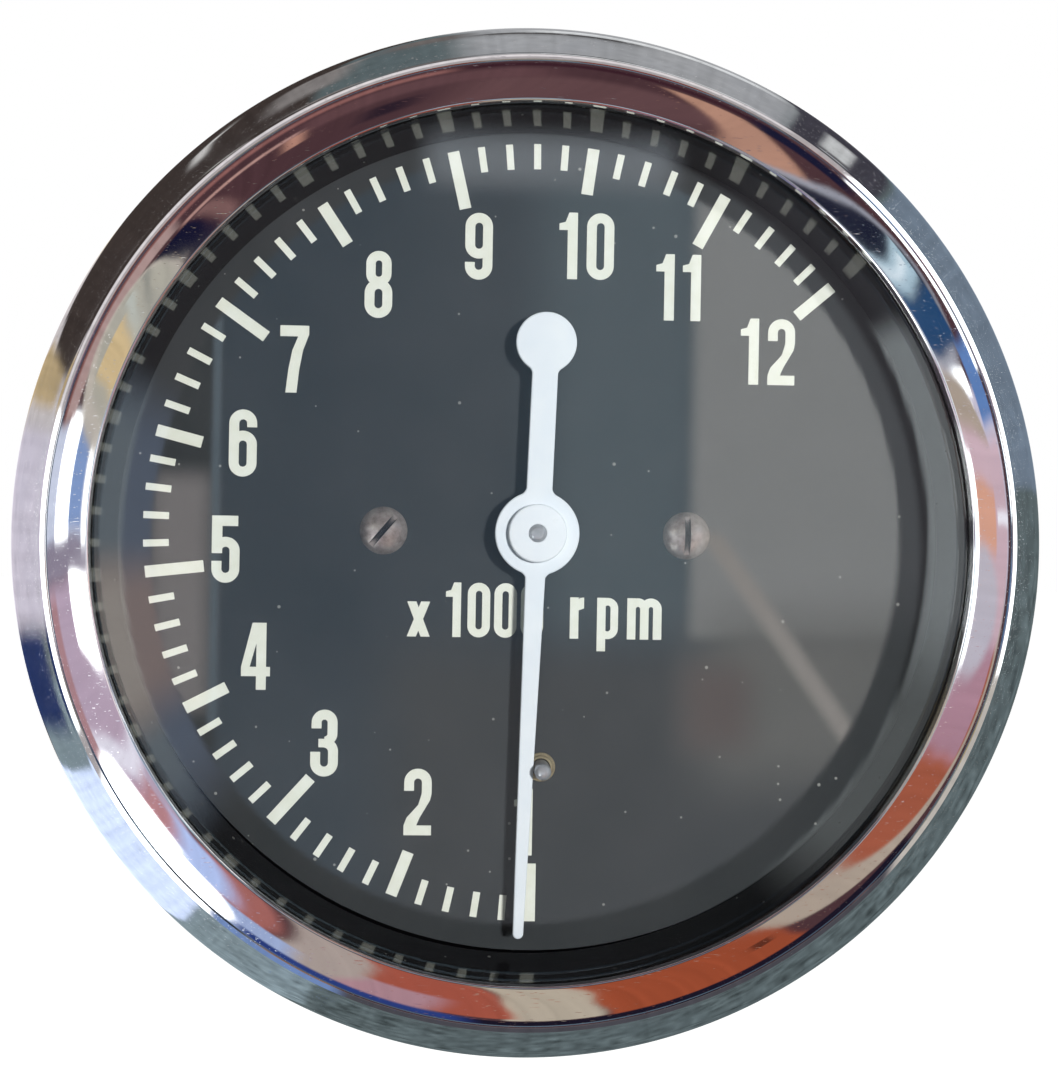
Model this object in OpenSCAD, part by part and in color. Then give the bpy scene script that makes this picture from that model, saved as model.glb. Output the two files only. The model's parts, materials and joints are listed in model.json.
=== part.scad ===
// Cable-driven magnetic tachometer for a motorcycle.
// It is drawn on the bench with its face up and stood upright at the end:
// the dial faces -Y, 12 o'clock is +Z, and the origin is the middle of the rear mounting face.

/* [Housing] */
// Room in the case round the dial
case_room = 3.3; // [3:0.1:4.5]
// Sheet thickness of the case
case_wall = 0.9; // [0.7:0.1:1.1]
// Radius of the case's rear edge
case_corner = 6; // [3:0.5:9]
// How far the case's front flange reaches out
flange_reach = 2.5; // [1.8:0.1:2.8]
// How far the housing sits left of the movement's axis
housing_left = 0.3; // [0:0.1:0.5]
// How far the housing sits below the movement's axis
housing_drop = 0.9; // [0:0.1:1]
// Slack round the studs, spigot and screws in the case's back
rear_slack = 1.3; // [1.2:0.1:1.6]

/* [Bezel and glass] */
// Sheet thickness of the bezel
bezel_wall = 0.8; // [0.6:0.1:0.9]
// How far the bezel's lip lies outside the black ring's foot
lip_outset = 1.25; // [0.8:0.05:1.6]
// How far the bezel's lip covers the glass
glass_lap = 2.3; // [1.6:0.1:2.6]
// How far the skirt spreads out from the bead
skirt_w = 3.25; // [2.8:0.05:3.6]
// Width of the bead between the broad face and the skirt
bead_w = 0.6; // [0.5:0.05:0.9]
// Height of the bezel's roll under the case's flange
roll_t = 0.8; // [0.6:0.1:1]
// Thickness of the glass
glass_t = 1.8; // [1.5:0.1:2.5]
// Thickness of the seal in front of the glass
glass_seal_t = 0.4; // [0.3:0.1:0.8]
// Thickness of the seal on the case's flange
flange_seal_t = 0.6; // [0.4:0.1:1]
// How far the black ring covers the dial's edge
ring_lap = 0.75; // [0.4:0.05:1.2]
// Sheet thickness of the black ring
ring_t = 0.8; // [0.6:0.1:1]

/* [Dial] */
// Height of the dial's face over the rear mounting face
dial_height = 46; // [44:0.5:50]
// Depth from the glass down to the dial's face
dial_depth = 4.8; // [4.6:0.1:6]
// Diameter of the dial
dial_d = 71.6; // [64:0.2:80]
// Thickness of the dial
dial_t = 1; // [0.6:0.1:1.5]
// Distance between the two dial screws
dial_screw_spacing = 26; // [22:0.5:30]
// Head diameter of a dial screw
dial_screw_head_d = 4.1; // [3.6:0.1:4.6]
// Head height of a dial screw
dial_screw_head_h = 1.15; // [0.9:0.05:1.4]
// Thread diameter of a dial screw
dial_screw_d = 2.5; // [2:0.1:3]
// Thread length of a dial screw below the dial
dial_screw_l = 4; // [3:0.5:6]
// Slot angle of the left and right dial screws
dial_slot_turn = [50, 90];

/* [Scale] */
// From the dial's edge in to the outer ends of the marks
mark_inset = 2.5; // [2:0.1:4]
// Thickness of the printed ink
ink_t = 0.06; // [0.04:0.01:0.1]
// Direction of the 1 mark, clockwise from 12 o'clock
scale_start = 180; // [170:1:190]
// Turn from one number to the next
number_step = 20.85; // [20:0.05:21.5]
// Marks from one number to the next
marks_per_number = 5; // [2:1:10]
// Length of a short mark
minor_l = 2.15; // [1.5:0.05:3]
// Width of a short mark
minor_w = 0.6; // [0.4:0.05:0.9]
// Length of the mark at an even number
even_l = 3.95; // [3:0.05:4.5]
// Length of the mark at an odd number
odd_l = 4.95; // [4:0.05:5.5]
// Width of the mark at a number
major_w = 1; // [0.8:0.05:1.4]
// Height of a number
number_h = 5.7; // [5:0.1:6.2]
// From the marks' outer ends in to the middle of the numbers
number_inset = 8; // [7.5:0.1:9]

/* [Needle] */
// From the dial's edge in to the needle's tip
tip_inset = 1.5; // [1.2:0.1:6]
// Width of the pointer at the hub
pointer_w = 1.8; // [1.4:0.1:2.4]
// Width of the pointer at its tip
tip_w = 0.9; // [0.6:0.1:1.2]
// Width of the counterweight's arm
arm_w = 2.2; // [1.6:0.1:3]
// Diameter of the disc in the middle
disc_d = 7.15; // [6:0.05:8]
// Diameter of the counterweight disc
weight_d = 5.15; // [4:0.05:6]
// Gap from the counterweight to the stop pin that it passes
weight_gap = 0.6; // [0.4:0.05:2]
// Thickness of the needle
needle_t = 0.5; // [0.3:0.1:0.8]
// Gap from the dial up to the needle
needle_lift = 2; // [1.6:0.1:2.2]
// Diameter of the raised boss
hub_d = 4.95; // [4:0.05:6]
// Diameter of the needle's shaft
shaft_d = 1.5; // [1.2:0.1:1.8]
// Direction of the needle at rest, clockwise from 12 o'clock
rest_turn = 181.8; // [181:0.1:185]
// Diameter of the stop pin
pin_d = 1.4; // [1:0.1:2]
// From the foot of the numbers in to the middle of the stop pin
pin_inset = 2.45; // [2:0.05:4]
// Height of the stop pin over the dial
pin_h = 4.1; // [3.5:0.1:4.4]

/* [Movement] */
// Thickness of the frame's foot
foot_t = 4; // [3:0.5:5]
// Diameter of the frame's foot
foot_d = 51; // [50:1:56]
// Distance between the frame's two pillars, and between the studs
pillar_spacing = 40; // [40:1:44]
// Diameter of a pillar
pillar_d = 7; // [6:0.5:7.5]
// Height of the magnet
magnet_h = 10; // [8:0.5:11]
// Room between the iron ring and the pillars
pillar_room = 1.2; // [0.6:0.1:3]
// Air gap on each side of the cup's wall
air_gap = 0.6; // [0.4:0.1:0.7]
// Wall of the drag cup
cup_wall = 0.5; // [0.4:0.1:0.6]
// Wall of the iron ring round the cup
field_ring_t = 1.6; // [1.2:0.1:1.7]
// Thickness of the bridge
bridge_t = 2; // [1.5:0.1:3]
// Width of the bridge
bridge_w = 9; // [8:0.5:12]
// Thread diameter of a bridge screw
bridge_screw_d = 3; // [2.5:0.1:3.5]
// Head diameter of a bridge screw
bridge_screw_head_d = 4.8; // [4.2:0.1:5.4]
// Thread length of a bridge screw below the bridge
bridge_screw_l = 6; // [4:0.5:10]
// Diameter of a dial post
dial_post_d = 4.2; // [3.6:0.1:4.8]
// Turns of the hairspring
spring_turns = 5; // [3:1:6]
// Radius of the hairspring's outer end
spring_r = 7.6; // [6.5:0.1:8.5]
// Thickness of the hairspring's strip
spring_t = 0.15; // [0.1:0.05:0.2]
// Width of the hairspring's strip
spring_w = 1; // [0.6:0.1:1.4]

/* [Drive] */
// Thread diameter of the cable spigot
spigot_d = 12; // [11:0.5:14]
// Length of the cable spigot behind the mounting face
spigot_l = 12; // [10:0.5:16]
// Bore for the cable's ferrule
ferrule_d = 8.4; // [7.8:0.1:8.6]
// Depth of the bore for the ferrule
ferrule_depth = 7; // [5:0.5:9]
// Diameter of the spindle
spindle_d = 6; // [5.4:0.1:6.2]
// Side of the square socket in the spindle
socket_w = 2.7; // [2.4:0.1:3.2]
// Depth of the square socket
socket_depth = 9; // [6:0.5:12]
// Radial clearance of a turning shaft
run_gap = 0.04; // [0.02:0.01:0.08]

/* [Rear fixings] */
// Thread diameter of a mounting stud
stud_d = 6; // [5:0.5:6]
// Length of a stud behind the mounting face
stud_l = 15; // [12:1:20]
// Thickness of the rear washers and the spigot's seal
rear_washer_t = 1.2; // [0.8:0.1:2]
// Distance between the two rear screws
rear_screw_spacing = 36; // [34:0.5:38]
// Thread diameter of a rear screw
rear_screw_d = 4; // [3:0.5:5]
// Head diameter of a rear screw
rear_screw_head_d = 7.6; // [6.5:0.1:8.5]
// How far a stud washer reaches past its stud's shank
stud_washer_w = 3; // [2.8:0.1:4]
// How far a rear washer reaches past the case's hole
rear_washer_w = 1.6; // [1.2:0.1:2]
// How far the spigot's seal reaches past the spigot
spigot_seal_w = 4; // [3.5:0.1:5]

/* [Hidden] */
$fn = 96;
// A cut runs this far past a face
over = 1;

// Levels in the housing, up from the rear mounting face
back_z = rear_washer_t;
floor_z = back_z + case_wall;
glass_z = dial_height + dial_depth;
ring_flange_z = glass_z - ring_t;
flange_top = ring_flange_z - flange_seal_t;
flange_z = flange_top - case_wall;
glass_top = glass_z + glass_t;
lip_z = glass_top + glass_seal_t;

// Radii on the dial, from its edge inwards
dial_r = dial_d / 2;
mark_r = dial_r - mark_inset;
number_r = mark_r - number_inset;
pin_r = number_r - number_h / 2 - pin_inset;
weight_r = pin_r - pin_d / 2 - weight_gap - weight_d / 2;
needle_l = dial_r - tip_inset;

// Radii of the housing, from the dial outwards
ring_r = dial_r - ring_lap;
window_r = ring_r + lip_outset;
case_r = dial_r + case_room + case_wall;
flange_r = case_r + flange_reach;
sheet_gap = 0.2;
bezel_r = flange_r + sheet_gap + bezel_wall;
bead_r = bezel_r - skirt_w;
glass_r = window_r + glass_lap;
ring_top_r = window_r + 0.2;
ring_flange_r = glass_r + 0.9;

// Levels in the movement
gasket_t = 0.5;
foot_z = floor_z + gasket_t;
foot_top = foot_z + foot_t;
boss_h = 2.2;
boss_top = foot_top + boss_h;
head_t = 2;
spigot_top = boss_top + head_t;
thrust_t = 0.5;
thrust_gap = 0.05;
hub_z = spigot_top + thrust_t + thrust_gap;
hub_disc_z = hub_z + 1.5;
hub_disc_t = 1.6;
magnet_z = hub_disc_z + hub_disc_t;
magnet_top = magnet_z + magnet_h;
spindle_top = magnet_top + 0.6;
cup_floor = spindle_top + 0.8;
cup_top = cup_floor + cup_wall;
cup_hub_flange_t = 0.8;
cup_hub_h = 2.5;
cup_hub_top = cup_top + cup_hub_h;
bridge_z = cup_hub_top + 3.5;
bridge_top = bridge_z + bridge_t;
arm_t = 0.6;
arm_top = bridge_top + arm_t;
bush_head_t = 0.8;
collet_h = 2;
collet_z = arm_top + bush_head_t + 1;
spring_z = collet_z + 0.5;
dial_z = dial_height - dial_t;
blade_z = dial_height + needle_lift;
blade_top = blade_z + needle_t;
boss_top_z = blade_top + 0.7;

// Radii of the movement, from the pillars inwards
pillar_x = pillar_spacing / 2;
field_r = pillar_x - pillar_d / 2 - pillar_room;
field_in = field_r - field_ring_t;
cup_r = field_in - air_gap;
cup_in = cup_r - cup_wall;
magnet_r = cup_in - air_gap;
sleeve_r = spindle_d / 2 + 2;
shaft_r = shaft_d / 2;
collet_r = 2;
spindle_r = spindle_d / 2;
bush_r = spindle_r + 1.6;
spigot_r = spigot_d / 2;
seat_r = spigot_r + 0.5;
spigot_head_r = seat_r + 1;
spindle_end = ferrule_depth - spigot_l + 0.5;
bush_z = spindle_end + 1.5;
clip_t = 0.5;
clip_z = bush_z - clip_t - thrust_gap;
clip_r = ferrule_d / 2 - 0.4;
clip_in = spindle_r - 0.6;
seal_r = spindle_r + 2.2;
stud_r = stud_d / 2;
shank_r = stud_r + 0.5;
stud_grip = 10;
screw_y = rear_screw_spacing / 2;
posts_r = dial_post_d / 2;

// Half width of the pointer at distance d from the middle
function pointer_half(d) = (pointer_w + (tip_w - pointer_w) * d / needle_l) / 2;

// How far the numbers 1 to 12 are set off their circle by eye, to the right and up
number_nudges = [[-0.3, 0.5], [-0.7, 0.5], [-0.9, 0.7], [-1.2, 0.8], [-1.2, 1.1], [-0.5, 1],
    [-0.1, -0.1], [0.4, 0], [0.5, -0.2], [0.4, -0.4], [0.1, -0.9], [0.4, -0.5]];

// Direction of the mark of number n, clockwise from 12 o'clock
function number_turn(n) = scale_start + (n - 1) * number_step;

// Middle of number n on the dial
function number_place(n) = [number_r * sin(number_turn(n)) + number_nudges[n - 1][0],
    number_r * cos(number_turn(n)) + number_nudges[n - 1][1]];

// Outlines of the figures, worked out in their own height and scaled to number_h
figure_h = 5.7;
figure_w = 2.35;
stem = 0.84;
figure_pitch = 2.75;

// Stands the bench drawing upright, with the dial towards -Y
module upright() {
    rotate([90, 0, 0]) children();
}

// Moves a housing piece off the movement's axis
module housed() {
    upright() translate([-housing_left, -housing_drop, 0]) children();
}

// Ring or tube from z up
module tube(outer, inner, z, h) {
    translate([0, 0, z]) difference() {
        cylinder(r = outer, h = h);
        translate([0, 0, -over]) cylinder(r = inner, h = h + 2 * over);
    }
}

// Upright cylinder from z up
module rod(r, z, h) {
    translate([0, 0, z]) cylinder(r = r, h = h);
}

// A copy at +x and one at -x
module both_sides(x) {
    for (side = [-1, 1]) translate([side * x, 0, 0]) children();
}

// A copy above and one below the middle
module above_and_below(y) {
    for (side = [-1, 1]) translate([0, side * y, 0]) children();
}

// Points of an arc, angles anticlockwise from +x
function arc(x, y, r, from, to, steps = 8) =
    [for (i = [0:steps]) let (a = from + (to - from) * i / steps) [x + r * cos(a), y + r * sin(a)]];

module case_profile() {
    inner_corner = case_corner - case_wall;
    polygon(concat(
        [[0, back_z]],
        arc(case_r - case_corner, back_z + case_corner, case_corner, -90, 0),
        [[case_r, flange_z], [flange_r, flange_z], [flange_r, flange_top], [case_r - case_wall, flange_top]],
        arc(case_r - case_corner, back_z + case_corner, inner_corner, 0, -90),
        [[0, floor_z]]));
}

module case_shell() {
    color("#1b1b1d") upright() difference() {
        translate([-housing_left, -housing_drop, 0]) rotate_extrude() case_profile();
        rod(seat_r + rear_slack, back_z - over, case_wall + 2 * over);
        both_sides(pillar_x) rod(shank_r + rear_slack, back_z - over, case_wall + 2 * over);
        above_and_below(screw_y) rod(rear_screw_d / 2 + rear_slack, back_z - over, case_wall + 2 * over);
    }
}

// A list without its first point, where that is the last one of the line before it
function later(points) = [for (i = [1:len(points) - 1]) points[i]];

// The bezel's section: lip, broad face that falls outwards, crease, bead, sloping skirt and the
// roll under the flange. A lean is how far a face tilts outwards
module bezel_profile() {
    lip_round = 0.16;
    lean_in = 1.5;
    lean_out = 34;
    bead_in = 33;
    bead_out = 42;
    skirt_lean = 42.5;
    lip_x = window_r + lip_round;
    lip_y = lip_z + bezel_wall + 0.1 - lip_round;
    crease_r = bead_r - bead_w;
    face_bend = (crease_r - lip_x - lip_round * sin(lean_in)) / (sin(lean_out) - sin(lean_in));
    face_x = lip_x + (lip_round - face_bend) * sin(lean_in);
    face_y = lip_y + (lip_round - face_bend) * cos(lean_in);
    bead_step = 0.07;
    bead_bend = (bead_w - bead_step) / (sin(bead_out) - sin(bead_in));
    bead_x = crease_r + bead_step - bead_bend * sin(bead_in);
    bead_y = face_y + face_bend * cos(lean_out) + 0.08 - bead_bend * cos(bead_in);
    skirt_top = bead_y + bead_bend * cos(bead_out) - 0.05;
    skirt_turn = skirt_top - (bezel_r - 0.75 - bead_r) * tan(skirt_lean);
    skirt_z = flange_z + 0.1;
    roll_z = flange_z - sheet_gap - roll_t;
    polygon(concat(
        arc(lip_x, lip_y, lip_round, 180, 90 - lean_in, 4),
        later(arc(face_x, face_y, face_bend, 90 - lean_in, 90 - lean_out, 10)),
        arc(bead_x, bead_y, bead_bend, 90 - bead_in, 90 - bead_out, 3),
        [[bead_r + 0.03, skirt_top], [bezel_r - 0.75, skirt_turn], [bezel_r - 0.35, skirt_turn - 0.54],
         [bezel_r - 0.1, skirt_turn - 1.09], [bezel_r, skirt_z]],
        arc(bezel_r - 0.6, roll_z + 0.6, 0.6, 0, -90, 6),
        [[case_r + 0.9, roll_z], [case_r + 0.9, roll_z + roll_t], [bezel_r - bezel_wall, roll_z + roll_t],
         [bezel_r - bezel_wall, flange_top - 0.2], [bezel_r - 1.65, flange_top + 0.9],
         [glass_r + 0.15, glass_top], [glass_r + 0.05, lip_z], [window_r, lip_z]]));
}

module bezel_ring() {
    color("#d9dbdf") housed() rotate_extrude() bezel_profile();
}

module front_glass() {
    color("#cfe0e4", 0.35) housed() rod(glass_r, glass_z, glass_t);
}

module glass_seal() {
    color("#141414") housed() tube(glass_r, window_r + 0.2, glass_top, glass_seal_t);
}

// Black cone between the dial and the glass, with a flange that the glass lies on
module inner_ring() {
    foot = dial_height + 0.15;
    slope = ring_flange_z + 0.3;
    color("#0c0c0d") housed() rotate_extrude()
        polygon(concat(
            [[ring_r, foot], [ring_r + ring_t, foot], [ring_top_r + ring_t, ring_flange_z],
             [ring_flange_r, ring_flange_z], [ring_flange_r, glass_z], [ring_top_r + 0.3, glass_z]],
            [[ring_top_r + 0.06, glass_z - 0.1], [ring_top_r - 0.06, slope]]));
}

module flange_seal() {
    color("#1a1a1a") housed() tube(case_r + 1.4, case_r - 2.2, flange_top, flange_seal_t);
}

module dial_plate() {
    color("#2b2d30") upright() difference() {
        rod(dial_r, dial_z, dial_t);
        rod(shaft_r + 1, dial_z - over, dial_t + 2 * over);
        both_sides(dial_screw_spacing / 2) rod(dial_screw_d / 2 + 0.1, dial_z - over, dial_t + 2 * over);
        at_stop_pin() rod(pin_d / 2 + 0.25, dial_z - over, dial_t + 2 * over);
    }
}

// Puts children at a distance along a direction that turns clockwise from 12 o'clock
module towards(turn, distance) {
    rotate([0, 0, -turn]) translate([0, distance, 0]) children();
}

// The stop pin stands just clear of the needle's right-hand edge
module at_stop_pin() {
    side = pointer_half(pin_r) + pin_d / 2 + 0.06;
    rotate([0, 0, -rest_turn]) translate([-side, pin_r, 0]) children();
}

module slot_2d(w, h) {
    square([w, h - w], center = true);
    for (side = [-1, 1]) translate([0, side * (h - w) / 2]) circle(d = w);
}

module loop_2d(w, h, s) {
    difference() {
        slot_2d(w, h);
        slot_2d(w - 2 * s, h - 2 * s);
    }
}

// Stem with a round top and two legs, standing on y = 0
module arch_2d(w, h, s) {
    difference() {
        union() {
            translate([-w / 2, 0]) square([w, h - w / 2]);
            translate([0, h - w / 2]) circle(d = w);
        }
        translate([s - w / 2, -over]) square([w - 2 * s, over + h - w / 2]);
        translate([0, h - w / 2]) circle(d = w - 2 * s);
    }
}

// One figure, 0 to 9, about its middle
module figure(n) {
    w = figure_w;
    h = figure_h;
    top = h / 2;
    right = w / 2;
    if (n == 0) loop_2d(w, h, stem);
    if (n == 1) polygon([[0.43, top], [0.43, -top], [-0.43, -top], [-0.43, top - 1.5], [-1.15, top - 1.5],
        [-1.15, top - 0.95], [-0.62, top - 0.8], [-0.32, top]]);
    if (n == 2) {
        difference() {
            translate([0, top - 1.8]) loop_2d(w, 3.6, stem);
            translate([-w, top - 5]) square([w, 3.1]);
            translate([-over, top - 5]) square([w, 2.85]);
        }
        polygon([[right - stem, top - 2.15], [right, top - 2.15], [right - 0.12, top - 2.7],
            [0.18, -top + 1.5], [-0.1, -top + stem], [-right, -top + stem], [-right + 0.25, -top + 1.5],
            [0.05, top - 3.1]]);
        translate([-right, -top]) square([w, stem]);
    }
    if (n == 3) {
        difference() {
            union() {
                translate([0, top - 1.57]) slot_2d(w - 0.15, 3.14);
                translate([0, -top + 1.65]) slot_2d(w, 3.3);
            }
            translate([0, top - 1.57]) slot_2d(w - 0.15 - 2 * stem, 3.14 - 2 * stem);
            translate([0, -top + 1.65]) slot_2d(w - 2 * stem, 3.3 - 2 * stem);
            translate([-w, -top + 2.1]) square([w, h - 2.1 - 1.6]);
        }
        translate([-0.5, -0.36]) square([0.7, 0.72]);
    }
    if (n == 4) difference() {
        polygon([[-0.3, top], [0.88, top], [0.88, -top + 1.95], [1.22, -top + 1.95], [1.22, -top + 1.15],
            [0.88, -top + 1.15], [0.88, -top], [0.05, -top], [0.05, -top + 1.15], [-1.22, -top + 1.15],
            [-1.22, -top + 1.95]]);
        polygon([[0.05, top - 1.75], [0.05, -top + 1.95], [-0.5, -top + 1.95]]);
    }
    if (n == 5) {
        translate([-right, top - 0.88]) square([w - 0.15, 0.88]);
        translate([-right, -0.35]) square([stem + 0.04, top + 0.35]);
        difference() {
            translate([0, -top + 1.95]) loop_2d(w, 3.9, stem);
            translate([-w - right + stem, -1]) square([w, 3]);
        }
    }
    if (n == 6) {
        translate([0, -top + 1.95]) loop_2d(w, 3.9, stem);
        difference() {
            loop_2d(w, h, stem);
            translate([0, -top]) square([w, h - 1.5]);
        }
    }
    if (n == 7) polygon([[-1.22, top], [1.22, top], [1.22, top - 0.75], [0.72, 0.75], [0.42, -0.9], [0.22, -top],
        [-0.72, -top], [-0.5, -0.9], [-0.18, 0.75], [0.3, top - 0.92], [-1.22, top - 0.92]]);
    if (n == 8) difference() {
        union() {
            translate([0, top - 1.5]) slot_2d(w - 0.2, 3);
            translate([0, -top + 1.65]) slot_2d(w, 3.3);
        }
        translate([0, top - 1.5]) slot_2d(0.55, 1.4);
        translate([0, -top + 1.65]) slot_2d(w - 2 * stem, 1.65);
    }
    if (n == 9) rotate(180) figure(6);
}

// A number of one or two figures about its middle
module number_2d(n) {
    scale(number_h / figure_h) {
        if (n < 10) figure(n);
        else {
            translate([-figure_pitch / 2 + 0.35, 0]) figure(1);
            translate([figure_pitch / 2 - (n == 11 ? 0.1 : 0), 0]) figure(n - 10);
        }
    }
}

// The unit of the scale, with its baseline at caption_y
caption_y = -9;
letter_h = 3.55;
letter_stem = 0.74;

module caption_2d() {
    small = 0.82;
    cross_h = 3;
    cross_w = 1.95;
    // The times sign is two strokes laid across each other
    translate([-9.9, caption_y + cross_h / 2]) for (flip = [-1, 1])
        polygon([for (p = [[-0.98, 1.5], [-0.2, 1.5], [0.98, -1.5], [0.2, -1.5]]) [flip * p[0], p[1]]]);
    translate([0, caption_y + small * figure_h / 2]) scale(small) {
        translate([-8.1, 0]) figure(1);
        for (i = [0:2]) translate([-5.8 + i * 2.78, 0]) figure(0);
    }
    translate([3.07, caption_y]) {
        square([letter_stem, letter_h]);
        polygon([[0.6, letter_h - 1.15], [1.2, letter_h - 0.95], [1.2, letter_h], [0.85, letter_h - 0.05],
            [0.6, letter_h - 0.3]]);
    }
    translate([5.4, caption_y]) {
        translate([0, -1.05]) square([letter_stem, letter_h + 1.05]);
        translate([0.91, letter_h / 2]) loop_2d(1.82, letter_h, 0.66);
    }
    translate([8, caption_y]) {
        square([letter_stem, letter_h]);
        for (i = [0:1]) translate([0.93 + i * 1.12, 0]) arch_2d(1.86, letter_h, letter_stem);
    }
}

module scale_mark(turn, l, w) {
    towards(turn, mark_r - l) translate([-w / 2, 0, dial_height]) cube([w, l, ink_t]);
}

module dial_marks() {
    numbers = len(number_nudges);
    color("#e6e7d8") upright() {
        for (n = [1:numbers]) {
            scale_mark(number_turn(n), n % 2 == 1 ? odd_l : even_l, major_w);
            if (n < numbers) for (m = [1:marks_per_number - 1])
                scale_mark(number_turn(n) + m * number_step / marks_per_number, minor_l, minor_w);
            translate([number_place(n)[0], number_place(n)[1], dial_height])
                linear_extrude(ink_t) number_2d(n);
        }
        translate([0, 0, dial_height]) linear_extrude(ink_t) caption_2d();
    }
}

// Slotted screw with a domed head that stands on z = 0
module domed_screw(head_d, head_h, thread_d, thread_l, slot_w, slot_turn) {
    dome_r = (head_d * head_d / 4 + head_h * head_h) / (2 * head_h);
    difference() {
        union() {
            intersection() {
                translate([0, 0, head_h - dome_r]) sphere(r = dome_r);
                cylinder(d = head_d, h = head_h + over);
            }
            rod(thread_d / 2, -thread_l, thread_l);
        }
        rotate([0, 0, slot_turn]) translate([-head_d, -slot_w / 2, head_h * 0.45]) cube([2 * head_d, slot_w, head_h]);
    }
}

module dial_screws() {
    color("#8a8680") upright() for (i = [0:1])
        translate([(2 * i - 1) * dial_screw_spacing / 2, 0, dial_height])
            domed_screw(dial_screw_head_d, dial_screw_head_h, dial_screw_d, dial_t + dial_screw_l, 0.5,
                dial_slot_turn[i]);
}

module stop_pin() {
    color("#b9b4a8") upright() at_stop_pin() {
        rod(pin_d / 2, dial_z - 0.6, dial_t + 0.6 + pin_h - pin_d / 2);
        translate([0, 0, dial_height + pin_h - pin_d / 2]) sphere(d = pin_d);
    }
}

module stop_pin_eyelet() {
    color("#8d7a52") upright() at_stop_pin() difference() {
        union() {
            rod(pin_d / 2 + 0.25, dial_z, dial_t);
            rod(pin_d / 2 + 0.55, dial_height, 0.3);
            rod(pin_d / 2 + 0.3, dial_height + 0.3, 0.25);
        }
        rod(pin_d / 2, dial_z - over, dial_t + 3 * over);
    }
}

// Fillets of radius f where an arm along +y runs into a disc of radius r
module web_2d(r, w, f) {
    // Both ends of the fillet lie a little inside the arm and the disc
    reach = 0.97 * f;
    mid_x = w / 2 + reach;
    mid_y = sqrt(pow(r + reach, 2) - pow(mid_x, 2));
    fillet = arc(mid_x, mid_y, f, 180, 180 + atan2(mid_y, mid_x));
    last = len(fillet) - 1;
    polygon(concat([[0, 0]], [for (i = [last:-1:0]) fillet[i]], [for (p = fillet) [-p[0], p[1]]]));
}

module needle_2d() {
    fillet = 0.9;
    circle(d = disc_d);
    // The pointer points along +y
    polygon([[-pointer_half(0), 0], [pointer_half(0), 0],
        [tip_w / 2, needle_l - tip_w / 2], [-tip_w / 2, needle_l - tip_w / 2]]);
    translate([0, needle_l - tip_w / 2]) circle(d = tip_w);
    web_2d(disc_d / 2, pointer_w * 0.9, fillet);
    rotate(180) {
        translate([-arm_w / 2, 0]) square([arm_w, weight_r]);
        web_2d(disc_d / 2, arm_w, fillet);
        translate([0, weight_r]) circle(d = weight_d);
        translate([0, weight_r]) rotate(180) web_2d(weight_d / 2, arm_w, fillet);
    }
}

module needle() {
    color("#eef0f6") upright() rotate([0, 0, -rest_turn]) difference() {
        translate([0, 0, blade_z]) linear_extrude(needle_t) needle_2d();
        rod(shaft_r + 0.5, blade_z - over, needle_t + 2 * over);
    }
}

// Turned boss: a collar under the needle, a neck through it and a raised head on it
module needle_hub() {
    collar_h = 0.9;
    edge = 0.12;
    color("#e6e8ef") upright() difference() {
        rotate_extrude() polygon([[0, blade_z - collar_h], [shaft_r + 1.2, blade_z - collar_h],
            [shaft_r + 1.2, blade_z], [shaft_r + 0.5, blade_z], [shaft_r + 0.5, blade_top],
            [hub_d / 2, blade_top], [hub_d / 2, boss_top_z - edge], [hub_d / 2 - edge, boss_top_z],
            [0, boss_top_z]]);
        rod(shaft_r, blade_z - collar_h - over, needle_t + collar_h + 3 * over);
    }
}

module needle_shaft() {
    foot = spindle_top - 3.4;
    dome = shaft_r * 0.35;
    color("#9c9ea2") upright() {
        rod(shaft_r, foot, boss_top_z + 0.05 - foot);
        translate([0, 0, boss_top_z + 0.05]) cylinder(r1 = shaft_r, r2 = shaft_r - dome, h = dome);
    }
}

module drag_cup() {
    color("#c4c7ca") upright() difference() {
        rod(cup_r, magnet_z + 1, cup_top - magnet_z - 1);
        rod(cup_in, magnet_z + 1 - over, cup_floor - magnet_z - 1 + over);
        rod(shaft_r + 0.9, cup_floor - over, cup_wall + 2 * over);
    }
}

module cup_hub() {
    color("#b5994f") upright() difference() {
        union() {
            rod(shaft_r + 0.9, cup_floor, cup_wall);
            rod(shaft_r + 2.7, cup_top, cup_hub_flange_t);
            rod(shaft_r + 1.4, cup_top, cup_hub_h);
        }
        rod(shaft_r, cup_floor - over, cup_hub_h + cup_wall + 2 * over);
    }
}

module hairspring_collet() {
    color("#b5994f") upright() tube(collet_r, shaft_r, collet_z, collet_h);
}

// Flat strip wound from the collet out to the stud at 12 o'clock
module hairspring() {
    steps = 24 * spring_turns;
    inner = collet_r;
    function strip(r_add) = [for (i = [0:steps])
        let (a = 90 - 360 * spring_turns * (1 - i / steps), r = inner + (spring_r - inner) * i / steps)
        [(r + r_add) * cos(a), (r + r_add) * sin(a)]];
    outer_edge = strip(spring_t);
    inner_edge = strip(0);
    color("#6f7f9a") upright() translate([0, 0, spring_z]) linear_extrude(spring_w)
        polygon(concat(outer_edge, [for (i = [steps:-1:0]) inner_edge[i]]));
}

// Block on the zero arm that grips the hairspring's end face
module hairspring_stud() {
    color("#b5994f") upright() translate([-1.6, spring_r - 0.8, arm_top])
        cube([1.6, 1.8, spring_z + spring_w + 0.3 - arm_top]);
}

module zero_arm() {
    color("#a9abad") upright() difference() {
        union() {
            rod(4.2, bridge_top, arm_t);
            translate([-1.6, 0, bridge_top]) cube([3.2, spring_r + 1.6, arm_t]);
        }
        rod(shaft_r + 1.3, bridge_top - over, arm_t + 2 * over);
    }
}

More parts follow.
